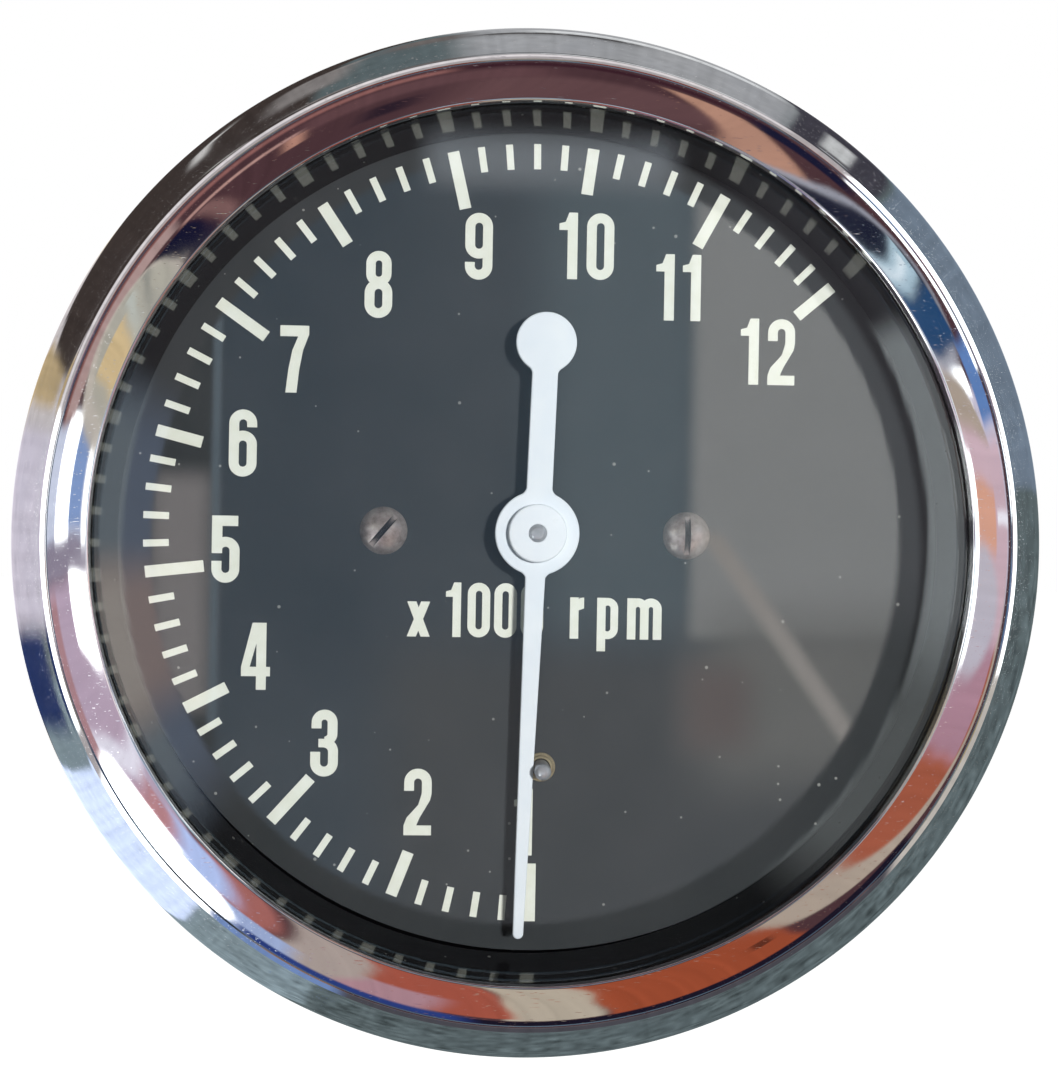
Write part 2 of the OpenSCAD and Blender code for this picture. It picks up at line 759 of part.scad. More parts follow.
module upper_bridge() {
    color("#b79a55") upright() difference() {
        union() {
            translate([-pillar_x, -bridge_w / 2, bridge_z]) cube([pillar_spacing, bridge_w, bridge_t]);
            both_sides(pillar_x) rod(bridge_w / 2, bridge_z, bridge_t);
            rod(bridge_w / 2 + 2.5, bridge_z, bridge_t);
        }
        rod(shaft_r + 1.3, bridge_z - over, bridge_t + 2 * over);
        both_sides(pillar_x) rod(bridge_screw_d / 2, bridge_z - over, bridge_t + 2 * over);
        both_sides(dial_screw_spacing / 2) rod(posts_r - 0.6, bridge_z - over, bridge_t + 2 * over);
    }
}

// Flanged bush that holds the zero arm down on the bridge
module upper_bush() {
    color("#c3a24f") upright() difference() {
        union() {
            rod(shaft_r + 1.3, bridge_z - 0.5, bridge_t + arm_t + 0.5);
            rod(shaft_r + 2.3, arm_top, bush_head_t);
        }
        rod(shaft_r + run_gap, bridge_z - 0.5 - over, bridge_t + arm_t + bush_head_t + 3 * over);
    }
}

module bridge_screws() {
    color("#a7a9ac") upright() both_sides(pillar_x) translate([0, 0, bridge_top])
        domed_screw(bridge_screw_head_d, 0.3 * bridge_screw_head_d, bridge_screw_d, bridge_t + bridge_screw_l,
            0.8, 30);
}

// Posts on the bridge that carry the dial
module dial_posts() {
    color("#b7b9bb") upright() both_sides(dial_screw_spacing / 2) difference() {
        union() {
            rod(posts_r - 0.6, bridge_z, bridge_t);
            rod(posts_r, bridge_top, dial_z - bridge_top);
        }
        rod(dial_screw_d / 2, dial_z - dial_screw_l, dial_screw_l + over);
    }
}

// Closed bush in the spindle's nose that the needle's shaft turns in
module pivot_bush() {
    depth = 4;
    color("#c3a24f") upright() difference() {
        rod(shaft_r + 0.8, spindle_top - depth, depth);
        rod(shaft_r + run_gap, spindle_top - depth + 0.5, depth);
    }
}

module drive_spindle() {
    color("#9fa1a4") upright() difference() {
        rod(spindle_r, spindle_end, spindle_top - spindle_end);
        translate([-socket_w / 2, -socket_w / 2, spindle_end - over])
            cube([socket_w, socket_w, socket_depth + over]);
        tube(spindle_r + over, clip_in, clip_z, clip_t);
        rod(shaft_r + 0.8, spindle_top - 4, 4 + over);
    }
}

module magnet() {
    color("#4a4b50") upright() tube(magnet_r, sleeve_r, magnet_z, magnet_h);
}

module magnet_hub() {
    color("#aeb0b2") upright() difference() {
        union() {
            rod(sleeve_r, hub_z, magnet_top - hub_z);
            rod(field_r, hub_disc_z, hub_disc_t);
        }
        rod(spindle_r, hub_z - over, magnet_top - hub_z + 2 * over);
    }
}

module field_ring() {
    color("#6b6d70") upright() tube(field_r, field_in, magnet_z, magnet_h + 0.6);
}

module thrust_washer() {
    color("#b08d57") upright() tube(spindle_r + 2.6, spindle_r + 0.1, spigot_top, thrust_t);
}

// Open clip that snaps into the spindle's groove
module spindle_clip() {
    color("#77797c") upright() difference() {
        tube(clip_r, clip_in, clip_z, clip_t);
        translate([-clip_in * 0.8, 0, clip_z - over]) cube([clip_in * 1.6, 2 * clip_r, clip_t + 2 * over]);
    }
}

module oil_seal() {
    color("#3a332c") upright() tube(seal_r, spindle_r + 0.1, boss_top, head_t);
}

module movement_frame() {
    color("#a3a5a8") upright() difference() {
        union() {
            rod(foot_d / 2, foot_z, foot_t);
            rod(seat_r + 2.5, foot_top, boss_h);
            both_sides(pillar_x) {
                rod(pillar_d / 2, foot_top, bridge_z - foot_top);
                rod(shank_r + 1.9, foot_top, stud_grip - foot_top + 2);
            }
        }
        rod(seat_r, foot_z - over, foot_t + boss_h + 2 * over);
        both_sides(pillar_x) {
            rod(shank_r, foot_z - over, stud_grip - foot_z + over);
            rod(bridge_screw_d / 2, bridge_z - bridge_screw_l, bridge_screw_l + over);
        }
        above_and_below(screw_y) rod(rear_screw_d / 2, foot_z - over, foot_t + 2 * over);
    }
}

module frame_gasket() {
    color("#5a4a3a") upright() difference() {
        tube(foot_d / 2 - 0.5, seat_r + rear_slack + 0.5, floor_z, gasket_t);
        both_sides(pillar_x) rod(shank_r + 0.3, floor_z - over, gasket_t + 2 * over);
        above_and_below(screw_y) rod(rear_screw_d / 2 + 0.3, floor_z - over, gasket_t + 2 * over);
    }
}

// Spigot pressed into the frame from the front: its seat is wider than the thread, and its head
// holds the oil seal
module cable_spigot() {
    color("#b9bbbd") upright() difference() {
        union() {
            rod(spigot_r, -spigot_l, spigot_l);
            rod(seat_r, 0, boss_top);
            rod(spigot_head_r, boss_top, head_t);
        }
        rod(ferrule_d / 2, -spigot_l - over, ferrule_depth + 2 * over);
        rod(ferrule_d / 2 + 0.2, ferrule_depth - spigot_l, bush_z - ferrule_depth + spigot_l);
        rod(bush_r, bush_z, spigot_top - bush_z + over);
        rod(seal_r, boss_top, head_t + over);
    }
}

module spindle_bush() {
    color("#b08d57") upright() tube(bush_r, spindle_r + run_gap, bush_z, boss_top - bush_z);
}

// Rubber ring round the spigot that covers the slack in the case's back
module spigot_seal() {
    color("#1a1a1a") upright() tube(seat_r + spigot_seal_w, seat_r, 0, back_z);
}

// Studs whose thicker shanks are pressed into the frame
module mounting_studs() {
    edge = 0.6;
    color("#c9b97a") upright() both_sides(pillar_x) {
        rod(shank_r, 0, stud_grip);
        rod(stud_r, edge - stud_l, stud_l - edge);
        translate([0, 0, -stud_l]) cylinder(r1 = stud_r - edge, r2 = stud_r, h = edge);
    }
}

module stud_washers() {
    color("#c9b97a") upright() both_sides(pillar_x) tube(shank_r + stud_washer_w, shank_r + 0.05, 0, back_z);
}

module rear_screws() {
    screw_l = foot_top - 0.2;
    color("#b5b3ab") upright() above_and_below(screw_y) rotate([180, 0, 0])
        domed_screw(rear_screw_head_d, 0.3 * rear_screw_head_d, rear_screw_d, screw_l, 1.1, 20);
}

module rear_washers() {
    color("#b5b3ab") upright() above_and_below(screw_y)
        tube(rear_screw_d / 2 + rear_slack + rear_washer_w, rear_screw_d / 2 + 0.05, 0, back_z);
}

case_shell();
bezel_ring();
front_glass();
glass_seal();
inner_ring();
flange_seal();
dial_plate();
dial_marks();
dial_screws();
stop_pin();
stop_pin_eyelet();
needle();
needle_hub();
needle_shaft();
drag_cup();
cup_hub();
hairspring_collet();
hairspring();
hairspring_stud();
zero_arm();
upper_bridge();
upper_bush();
bridge_screws();
dial_posts();
pivot_bush();
drive_spindle();
magnet();
magnet_hub();
field_ring();
thrust_washer();
spindle_clip();
oil_seal();
movement_frame();
frame_gasket();
cable_spigot();
spindle_bush();
spigot_seal();
mounting_studs();
stud_washers();
rear_screws();
rear_washers();
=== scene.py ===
"""Visual model of a motorcycle tachometer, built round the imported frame.

Sizes are in millimetres on the bench: radius r from an axis and height h above the rear mounting
face, with the dial facing up. The row frame is in metres, with the dial facing -y, so a bench point
(x, y, h) stands at (x, -h, y) / 1000.
"""

from __future__ import annotations

import json
import logging
import math
from dataclasses import dataclass
from enum import Enum
from functools import partial
from typing import Any, Callable, Sequence

import bmesh
import bpy
import numpy as np
from mathutils import Matrix, Vector

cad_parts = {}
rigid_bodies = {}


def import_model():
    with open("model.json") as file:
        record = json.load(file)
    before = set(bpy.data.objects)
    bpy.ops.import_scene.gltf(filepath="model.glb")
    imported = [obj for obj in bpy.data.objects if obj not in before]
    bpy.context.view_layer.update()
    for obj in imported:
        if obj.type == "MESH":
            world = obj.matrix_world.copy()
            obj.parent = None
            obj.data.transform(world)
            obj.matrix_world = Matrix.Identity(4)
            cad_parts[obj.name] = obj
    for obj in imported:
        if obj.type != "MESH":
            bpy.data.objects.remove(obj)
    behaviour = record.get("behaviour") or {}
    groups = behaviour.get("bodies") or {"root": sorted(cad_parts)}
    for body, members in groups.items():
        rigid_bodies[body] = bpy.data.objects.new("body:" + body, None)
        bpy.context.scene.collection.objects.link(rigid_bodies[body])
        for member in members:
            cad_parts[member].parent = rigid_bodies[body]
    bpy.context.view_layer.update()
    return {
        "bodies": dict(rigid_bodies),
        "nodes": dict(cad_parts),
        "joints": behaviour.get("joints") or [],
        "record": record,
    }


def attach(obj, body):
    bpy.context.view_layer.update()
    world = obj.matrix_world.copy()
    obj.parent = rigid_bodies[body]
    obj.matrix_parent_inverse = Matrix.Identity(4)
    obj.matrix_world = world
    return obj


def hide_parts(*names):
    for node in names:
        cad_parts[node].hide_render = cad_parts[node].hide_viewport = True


LOG = logging.getLogger("tachometer")
MM = 0.001
MICRON = 1e-6
DUST_GREY = "b9b8b2"
# Black that is painted into hollows as shade
HOLLOW_SHADE_BLACK = "0c0b0b"
# Points of a mesh that are closer than this, in metres, are one point
SAME_PLACE = 2e-7

Socket = bpy.types.NodeSocket
Tree = bpy.types.NodeTree
Node = bpy.types.Node
Object = bpy.types.Object
Material = bpy.types.Material


class Body(Enum):
    """The bodies of the frame that a new piece rides on."""

    INSTRUMENT = "instrument"
    POINTER = "pointer"


class Marks(Enum):
    """How a surface was made, which decides the fine marks that its finish draws."""

    NONE = "none"
    TURNED = "turned"
    BRUSHED = "brushed"
    HAIRLINES = "hairlines"


def linear(colour: str) -> tuple[float, float, float, float]:
    """Turns an sRGB hex colour into linear red, green, blue and alpha.

    Args:
        colour: Six hex digits.

    Returns:
        The linear colour, c / 12.92 below 0.04045 and ((c + 0.055) / 1.055) ** 2.4 above, alpha 1.
    """
    channels = np.array([int(colour[i : i + 2], 16) for i in (0, 2, 4)]) / 255
    low = channels / 12.92
    high = ((channels + 0.055) / 1.055) ** 2.4
    red, green, blue = np.where(channels <= 0.04045, low, high)
    return float(red), float(green), float(blue), 1.0


def add(tree: Tree, kind: str, settings: dict[str, Any] | None = None, inputs: dict | None = None) -> Node:
    """Adds one shader node with its settings, values and links.

    Args:
        tree: The node tree.
        kind: The node's type without the words ShaderNode.
        settings: Properties of the node.
        inputs: A value or another node's output for each input, by its name or number.

    Returns:
        The new node.
    """
    node = tree.nodes.new("ShaderNode" + kind)
    for name, value in (settings or {}).items():
        setattr(node, name, value)
    for name, value in (inputs or {}).items():
        if isinstance(value, Socket):
            tree.links.new(value, node.inputs[name])
        else:
            node.inputs[name].default_value = value
    return node


def blank(name: str) -> tuple[Material, Tree]:
    """Makes a material with no nodes yet.

    Args:
        name: The material's name.

    Returns:
        The material and its node tree.
    """
    material = bpy.data.materials.new(name)
    material.use_nodes = True
    material.node_tree.nodes.clear()
    return material, material.node_tree


def placed(name: str, data: bpy.types.ID) -> Object:
    """Makes an object at the origin and puts it in the scene.

    Args:
        name: The object's name.
        data: Its mesh, camera or lamp.

    Returns:
        The object.
    """
    made = bpy.data.objects.new(name, data)
    bpy.context.scene.collection.objects.link(made)
    return made


@dataclass(frozen=True)
class Finish:
    """A surface finish: what it is made of, its colours and its fine marks.

    Lengths are in millimetres and heights of bumps in micrometres.
    """

    name: str
    colour: str
    second: str
    patch: float = 6.0
    metallic: float = 0.0
    roughness: float = 0.5
    spread: float = 0.1
    grain: float = 0.25
    grain_height: float = 4.0
    marks: Marks = Marks.NONE
    mark_pitch: float = 0.12
    mark_height: float = 2.0
    dust: float = 0.0
    coat: float = 0.0
    # Reach in millimetres of the shade painted into hollows
    hollow_shade: float = 0.0

    def build(self) -> Material:
        """Makes the finish's material.

        Returns:
            The material, whose patterns read Object coordinates in millimetres.
        """
        material, tree = blank(self.name)
        material.diffuse_color = linear(self.colour)
        place = add(tree, "TexCoord").outputs["Object"]
        millimetres = add(tree, "Mapping", inputs={"Vector": place, "Scale": (1 / MM,) * 3}).outputs[0]
        colour, wear = self.tones(tree, millimetres)
        height = self.heights(tree, millimetres)
        low, high = max(self.roughness - self.spread / 2, 0.0), self.roughness + self.spread / 2
        rough = add(tree, "MapRange", inputs={"Value": wear, "To Min": low, "To Max": high}).outputs[0]
        if self.dust:
            speck = self.specks(tree, millimetres)
            grey = linear(DUST_GREY)
            colour = add(tree, "Mix", {"data_type": "RGBA"}, {0: speck, 6: colour, 7: grey}).outputs[2]
        # Paints shade into hollows, darker where less of the sky is open
        if self.hollow_shade:
            colour = self.painted_hollow_shade(tree, colour)
        surface = {
            "Base Color": colour,
            "Roughness": rough,
            "Metallic": self.metallic,
            "Coat Weight": self.coat,
            "Coat Roughness": 0.08,
            "Normal": height,
        }
        shader = add(tree, "BsdfPrincipled", inputs=surface)
        add(tree, "OutputMaterial", inputs={"Surface": shader.outputs[0]})
        return material

    def painted_hollow_shade(self, tree: Tree, colour: Socket) -> Socket:
        """Paints shade into hollows: darkens the colour wherever less of the sky is seen.

        Args:
            tree: The material's nodes.
            colour: The clean colour.

        Returns:
            The colour, all painted shade where 0.45 of the sky is open and unshaded from 0.85 on.
        """
        open_sky = add(tree, "AmbientOcclusion", {"samples": 8}, {"Distance": self.hollow_shade * MM}).outputs["AO"]
        steps = {"Value": open_sky, "From Min": 0.45, "From Max": 0.85}
        unshaded = add(tree, "MapRange", inputs=steps).outputs[0]
        painted_shade = linear(HOLLOW_SHADE_BLACK)
        return add(tree, "Mix", {"data_type": "RGBA"}, {0: unshaded, 6: painted_shade, 7: colour}).outputs[2]

    def tones(self, tree: Tree, place: Socket) -> tuple[Socket, Socket]:
        """Mixes the two tones in soft patches, by the middle third of a noise.

        Args:
            tree: The material's nodes.
            place: Position in millimetres.

        Returns:
            The colour and the patch pattern, from 0 to 1.
        """
        shape = {"Vector": place, "Scale": 1 / self.patch, "Detail": 5.0, "Roughness": 0.62}
        cloud = add(tree, "TexNoise", inputs=shape).outputs[0]
        wide = add(tree, "MapRange", inputs={"Value": cloud, "From Min": 0.32, "From Max": 0.68}).outputs[0]
        pair = {0: wide, 6: linear(self.colour), 7: linear(self.second)}
        return add(tree, "Mix", {"data_type": "RGBA"}, pair).outputs[2], wide

    def heights(self, tree: Tree, place: Socket) -> Socket:
        """Bumps the surface with its grain and the marks of its making.

        Args:
            tree: The material's nodes.
            place: Position in millimetres.

        Returns:
            The bumped normal.
        """
        shape = {"Vector": place, "Scale": 1 / self.grain, "Detail": 3.0}
        grain = add(tree, "TexNoise", inputs=shape).outputs[0]
        bump = {"Height": grain, "Strength": 1.0, "Distance": self.grain_height * MICRON}
        normal = add(tree, "Bump", inputs=bump).outputs[0]
        if self.marks is Marks.NONE:
            return normal
        lines = self.lines(tree, place)
        bump = {"Height": lines, "Normal": normal, "Strength": 1.0, "Distance": self.mark_height * MICRON}
        return add(tree, "Bump", inputs=bump).outputs[0]

    def lines(self, tree: Tree, place: Socket) -> Socket:
        """Draws the marks that a tool or a cloth left.

        Turned marks are noise over (radius, height) and so run round the axis. Brushed marks are
        noise squeezed along one direction. Hairlines are the rare peaks of three squeezed noises,
        each turned another way.

        Args:
            tree: The material's nodes.
            place: Position in millimetres.

        Returns:
            The height of the marks, from 0 to 1.
        """
        shape: dict[str, Any] = {"Scale": 1 / self.mark_pitch, "Detail": 2.0}
        if self.marks is Marks.TURNED:
            axes = add(tree, "SeparateXYZ", inputs={0: place})
            flat = add(tree, "CombineXYZ", inputs={"X": axes.outputs["X"], "Y": axes.outputs["Z"]})
            radius = add(tree, "VectorMath", {"operation": "LENGTH"}, {0: flat.outputs[0]}).outputs["Value"]
            ring = add(tree, "CombineXYZ", inputs={"X": radius, "Y": axes.outputs["Y"]}).outputs[0]
            return add(tree, "TexNoise", inputs={"Vector": ring, **shape}).outputs[0]
        if self.marks is Marks.BRUSHED:
            squeezed = add(tree, "Mapping", inputs={"Vector": place, "Scale": (0.05, 1.0, 1.0)}).outputs[0]
            return add(tree, "TexNoise", inputs={"Vector": squeezed, **shape}).outputs[0]
        shape["Detail"] = 1.0
        strength: Socket | None = None
        for turn, length in ((0.6, 0.06), (2.1, 0.04), (1.3, 0.09)):
            squeeze = {"Vector": place, "Rotation": (0.0, turn, 0.0), "Scale": (length, 1.0, 1.0)}
            squeezed = add(tree, "Mapping", inputs=squeeze).outputs[0]
            noise = add(tree, "TexNoise", inputs={"Vector": squeezed, **shape}).outputs[0]
            rare = {"Value": noise, "From Min": 0.74, "From Max": 0.82}
            peak = add(tree, "MapRange", inputs=rare).outputs[0]
            if strength is None:
                strength = peak
            else:
                strength = add(tree, "Math", {"operation": "MAXIMUM"}, {0: strength, 1: peak}).outputs[0]
        return strength

    def specks(self, tree: Tree, place: Socket) -> Socket:
        """Scatters dust: a speck of up to 0.09 mm in some cells of a Voronoi pattern.

        Args:
            tree: The material's nodes.
            place: Position in millimetres.

        Returns:
            How much of the dust's colour shows, from 0 to 1.
        """
        shape = {"Vector": place, "Scale": 0.6, "Randomness": 1.0}
        cells = add(tree, "TexVoronoi", {"feature": "F1"}, shape)
        lone = add(tree, "SeparateColor", inputs={0: cells.outputs["Color"]}).outputs[0]
        reach = {"Value": lone, "From Min": 0.3, "To Min": 0.0, "To Max": 0.09}
        size = add(tree, "MapRange", inputs=reach).outputs[0]
        pair = {0: cells.outputs["Distance"], 1: size}
        near = add(tree, "Math", {"operation": "LESS_THAN"}, pair).outputs[0]
        return add(tree, "Math", {"operation": "MULTIPLY"}, {0: near, 1: self.dust}).outputs[0]


# Chromium plate over polished steel: a bright mirror with a few hairlines from years of wiping
CHROME = Finish(
    "chromium_plated_steel", "c6c8c9", "c0c3c6", metallic=1.0, roughness=0.05, spread=0.04, grain=1.4,
    grain_height=1.2, marks=Marks.HAIRLINES, mark_pitch=0.1, mark_height=2.5,
)
# Gloss black stoving enamel on the spun ring: nearly black, but it mirrors the dial's marks
GLOSS_ENAMEL = Finish(
    "gloss_black_stoving_enamel", "111113", "161618", roughness=0.09, spread=0.05, grain=0.6,
    grain_height=0.8, dust=0.25, coat=0.4,
)
# Sprayed matt black paint on the dial: dark grey to the eye, with a fine tooth and settled dust
DIAL_PAINT = Finish(
    "matt_black_dial_paint", "3b3d3f", "35383a", patch=9.0, roughness=0.66, spread=0.08, grain=0.3,
    grain_height=1.5, dust=0.55,
)
# Pad-printed cream ink, a little uneven where it is thin
CREAM_INK = Finish("cream_pad_printing_ink", "f0f0e6", "e8e8da", patch=1.2, grain=0.2, grain_height=1.5)
# Sprayed white lacquer on the stamped aluminium pointer: clean, faintly blue
NEEDLE_LACQUER = Finish(
    "white_pointer_lacquer", "eef1f6", "e6ebf3", patch=3.0, roughness=0.38, grain=0.2, grain_height=1.5,
)
# Moulded white acetal boss: the same white, a touch glossier
HUB_PLASTIC = Finish(
    "white_moulded_acetal", "f1f3f8", "eaeef5", patch=2.0, roughness=0.3, grain=0.3, grain_height=1.0,
)
# Dull nickel on small brass screws: warm grey with a soft sheen, and shade painted into their slots
SCREW_NICKEL = Finish(
    "dull_nickel_plate", "bdb4b0", "8f8480", patch=0.8, metallic=0.55, roughness=0.4, spread=0.2, grain=0.3,
    grain_height=5.0, hollow_shade=0.7,
)
# Polished steel of the drive spindle
BRIGHT_STEEL = Finish(
    "polished_carbon_steel", "c4c1bc", "b3afa9", patch=1.5, metallic=1.0, roughness=0.16, grain=0.2,
    grain_height=1.0, marks=Marks.TURNED, mark_pitch=0.09, mark_height=0.8,
)
# Pin and arbor of the same steel, dulled by handling, so that they look pale from the front, with shade
# painted into their hollows
DULLED_STEEL = Finish(
    "dulled_carbon_steel", "c2c4ca", "a8a9ae", patch=0.8, metallic=0.45, roughness=0.36, grain=0.2,
    grain_height=1.0, hollow_shade=0.25, marks=Marks.TURNED, mark_pitch=0.09, mark_height=0.8,
)
# Brass eyelet, its plate worn thin and pale, with shade painted into its hollows
EYELET_BRASS = Finish(
    "aged_brass", "b5a888", "8f8268", patch=0.7, metallic=0.45, roughness=0.4, grain=0.15, grain_height=3.0,
    hollow_shade=0.3, marks=Marks.TURNED, mark_pitch=0.2, mark_height=6.0,
)
# Brass of the movement's turned pieces and bridge, still yellow inside the case
TURNED_BRASS = Finish(
    "turned_brass", "c2a565", "ad9153", patch=3.0, metallic=1.0, roughness=0.28, marks=Marks.TURNED,
    mark_pitch=0.1, mark_height=1.5,
)
# Satin black enamel on the drawn steel can: smooth, with a faint orange-peel
CASE_ENAMEL = Finish(
    "satin_black_enamel", "1c1c1e", "232325", patch=14.0, roughness=0.38, spread=0.12, grain=0.9,
    grain_height=7.0, dust=0.3, coat=0.15,
)
# Yellow zinc passivate on the studs and washers
YELLOW_ZINC = Finish(
    "yellow_passivated_zinc", "c6b27a", "b3a48e", patch=2.2, metallic=1.0, roughness=0.34, spread=0.16,
    grain=0.2, grain_height=2.0,
)
# Clear zinc on the rear screws: bluish grey
CLEAR_ZINC = Finish(
    "clear_passivated_zinc", "b6b8bb", "a0a3a8", patch=2.0, metallic=1.0, roughness=0.33, spread=0.14,
    grain=0.2, grain_height=2.0,
)
# Nickel on the turned brass spigot
SPIGOT_NICKEL = Finish(
    "nickel_plated_brass", "b9b5ac", "a8a398", patch=3.0, metallic=1.0, roughness=0.24, marks=Marks.TURNED,
    mark_height=1.5,
)
# Moulded nitrile rubber: black and dull
RUBBER = Finish(
    "black_nitrile_rubber", "141414", "1b1b1b", patch=2.0, roughness=0.72, grain=0.12, grain_height=6.0,
)
# Pressure die-cast zinc, dull grey with the fine grain of the mould
DIE_CAST = Finish(
    "pressure_die_cast_zinc", "9c9ea1", "8d8f93", patch=4.0, metallic=1.0, spread=0.14, grain=0.3,
    grain_height=12.0,
)
# Drawn aluminium of the cup, pale, with the rings of its drawing
CUP_ALUMINIUM = Finish(
    "deep_drawn_aluminium", "cfd1d3", "c2c4c6", patch=5.0, metallic=1.0, roughness=0.3, marks=Marks.TURNED,
    mark_pitch=0.15,
)
# Hairspring strip, blue from its tempering
BLUED_SPRING = Finish(
    "blued_spring_steel", "2f3f66", "28365a", patch=1.5, metallic=1.0, roughness=0.26, grain=0.2,
    grain_height=1.0,
)
# Cadmium plate on small stamped pieces: grey, faintly warm, with the lines of the strip
PLATED_STEEL = Finish(
    "cadmium_plated_steel", "a9a89c", "9a998e", patch=2.5, metallic=1.0, roughness=0.36, marks=Marks.BRUSHED,
    mark_pitch=0.1, mark_height=1.5,
)
# Sintered bronze full of oil: brown and porous
SINTERED_BRONZE = Finish(
    "oiled_sintered_bronze", "8f6f43", "7a5d38", patch=1.6, metallic=1.0, roughness=0.46, grain=0.12,
    grain_height=8.0,
)
# Cast alnico: dark grey with the grain of the sand
CAST_MAGNET = Finish(
    "cast_alnico", "6d6e70", "5c5d60", patch=2.4, metallic=1.0, roughness=0.52, grain_height=14.0,
)
# Annealed iron of the field ring, turned and left bare
SOFT_IRON = Finish(
    "annealed_soft_iron", "86868a", "747478", patch=3.0, metallic=1.0, roughness=0.42, marks=Marks.TURNED,
    mark_pitch=0.14, mark_height=2.5,
)
# Wool felt soaked with oil: brown and fuzzy
OILED_FELT = Finish(
    "oiled_wool_felt", "5b5348", "4c453b", patch=1.2, roughness=0.92, grain=0.1, grain_height=30.0,
)
# Pressed vulcanised fibre, brown as card
FIBRE_GASKET = Finish(
    "vulcanised_fibre", "5f4d3b", "6b5744", patch=3.0, roughness=0.75, grain=0.15, grain_height=8.0,
)


@dataclass(frozen=True)
class ClearGlass:
    """Flat float glass: clear, with the mirror of its two faces and the faintest green."""

    name: str = "clear_float_glass"
    colour: str = "f7fbfa"
    ior: float = 1.52
    smears_per_metre: float = 60.0

    def build(self) -> Material:
        """Makes the glass, which lets the lamps' rays straight through.

        Returns:
            The material.
        """
        material, tree = blank(self.name)
        place = add(tree, "TexCoord").outputs["Object"]
        shape = {"Vector": place, "Scale": self.smears_per_metre, "Detail": 3.0}
        smear = add(tree, "TexNoise", inputs=shape).outputs[0]
        rough = add(tree, "MapRange", inputs={"Value": smear, "To Min": 0.0, "To Max": 0.02}).outputs[0]
        surface = {
            "Base Color": linear(self.colour),
            "Transmission Weight": 1.0,
            "IOR": self.ior,
            "Roughness": rough,
        }
        glass = add(tree, "BsdfPrincipled", inputs=surface)
        clear = add(tree, "BsdfTransparent")
        shadow = add(tree, "LightPath").outputs["Is Shadow Ray"]
        mixed = add(tree, "MixShader", inputs={0: shadow, 1: glass.outputs[0], 2: clear.outputs[0]})
        add(tree, "OutputMaterial", inputs={"Surface": mixed.outputs[0]})
        return material


class Workshop:
    """Turns grids into pieces and gives each its finish and body."""

    def __init__(self, frame: dict[str, Any]) -> None:
        """Keeps the frame and starts with no materials made."""
        self.frame = frame
        self.made: dict[str, Material] = {}

    def material(self, finish: Finish | ClearGlass) -> Material:
        """Returns the finish's material, made once."""
        if finish.name not in self.made:
            self.made[finish.name] = finish.build()
        return self.made[finish.name]

    def dress(self, node: str, finish: Finish | ClearGlass) -> None:
        """Gives a node of the frame its finish.

        Args:
            node: The node's name.
            finish: Its finish.
        """
        mesh = self.frame["nodes"][node].data
        mesh.materials.clear()
        mesh.materials.append(self.material(finish))

    def finished(
        self,
        piece: Object,
        finish: Finish | ClearGlass,
        slot: str,
        nodes: Sequence[str],
        body: Body = Body.INSTRUMENT,
    ) -> Object:
        """Gives a new piece its finish and its body, and hides the nodes that it stands for.

        Args:
            piece: The piece, at the origin.
            finish: Its finish.
            slot: The record's material slot; not used.
            nodes: The CAD nodes that it replaces.
            body: What it rides on.

        Returns:
            The piece.
        """
        piece.data.materials.clear()
        piece.data.materials.append(self.material(finish))
        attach(piece, body.value)
        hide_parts(*nodes)
        LOG.info("%s: %d faces", piece.name, len(piece.data.polygons))
        return piece

    def piece(self, name: str, points: np.ndarray, faces: np.ndarray, sharp: float) -> Object:
        """Makes an object of points and faces, closes its seams and turns its faces outwards.

        Args:
            name: The object's name.
            points: Points in metres, one row each.
            faces: Corners of each face, one row each.
            sharp: Edges bent more than this many degrees stay sharp.

        Returns:
            The object, at the origin.
        """
        mesh = bpy.data.meshes.new(name)
        mesh.from_pydata(points.tolist(), [], faces.tolist())
        work = bmesh.new()
        work.from_mesh(mesh)
        bmesh.ops.remove_doubles(work, verts=work.verts, dist=SAME_PLACE)
        bmesh.ops.dissolve_degenerate(work, edges=work.edges, dist=1e-8)
        bmesh.ops.recalc_face_normals(work, faces=work.faces)
        work.to_mesh(mesh)
        work.free()
        mesh.shade_smooth()
        mesh.set_sharp_from_angle(angle=math.radians(sharp))
        return placed(name, mesh)

    def softened(self, name: str, node: str, width: float, steps: int) -> Object:
        """Copies a CAD node, merges its triangles into whole faces and rounds its edges.

        Triangles that bend less than 1 degree are joined, and edges of 32 degrees or more are rounded.

        Args:
            name: The new piece's name.
            node: The CAD node.
            width: Width of the rounding in millimetres.
            steps: Faces across the rounding.

        Returns:
            The piece, at the origin.
        """
        mesh = self.frame["nodes"][node].data.copy()
        mesh.name = name
        work = bmesh.new()
        work.from_mesh(mesh)
        bmesh.ops.remove_doubles(work, verts=work.verts, dist=SAME_PLACE)
        bmesh.ops.dissolve_limit(work, angle_limit=math.radians(1.0), verts=work.verts, edges=work.edges)
        for face in work.faces:
            face.smooth = True
        work.to_mesh(mesh)
        work.free()
        made = placed(name, mesh)
        bevel = made.modifiers.new("rounded_edges", "BEVEL")
        bevel.width = width * MM
        bevel.segments = steps
        bevel.limit_method = "ANGLE"
        bevel.angle_limit = math.radians(32)
        bevel.harden_normals = False
        if "sharp_face" in mesh.attributes:
            mesh.attributes.remove(mesh.attributes["sharp_face"])
        mesh.set_sharp_from_angle(angle=math.radians(40))
        return made

    def copied(
        self,
        name: str,
        node: str,
        rounding: tuple[float, int],
        finish: Finish,
        slot: str,
        body: Body = Body.INSTRUMENT,
    ) -> Object:
        """Puts a softened copy of a CAD node in its place and finishes it.

        Args:
            name: The new piece's name.
            node: The CAD node that it copies and replaces.
            rounding: Width of the rounding in millimetres, and faces across it.
            finish: Its finish.
            slot: The record's material slot.
            body: What it rides on.

        Returns:
            The piece.
        """
        return self.finished(self.softened(name, node, *rounding), finish, slot, [node], body)


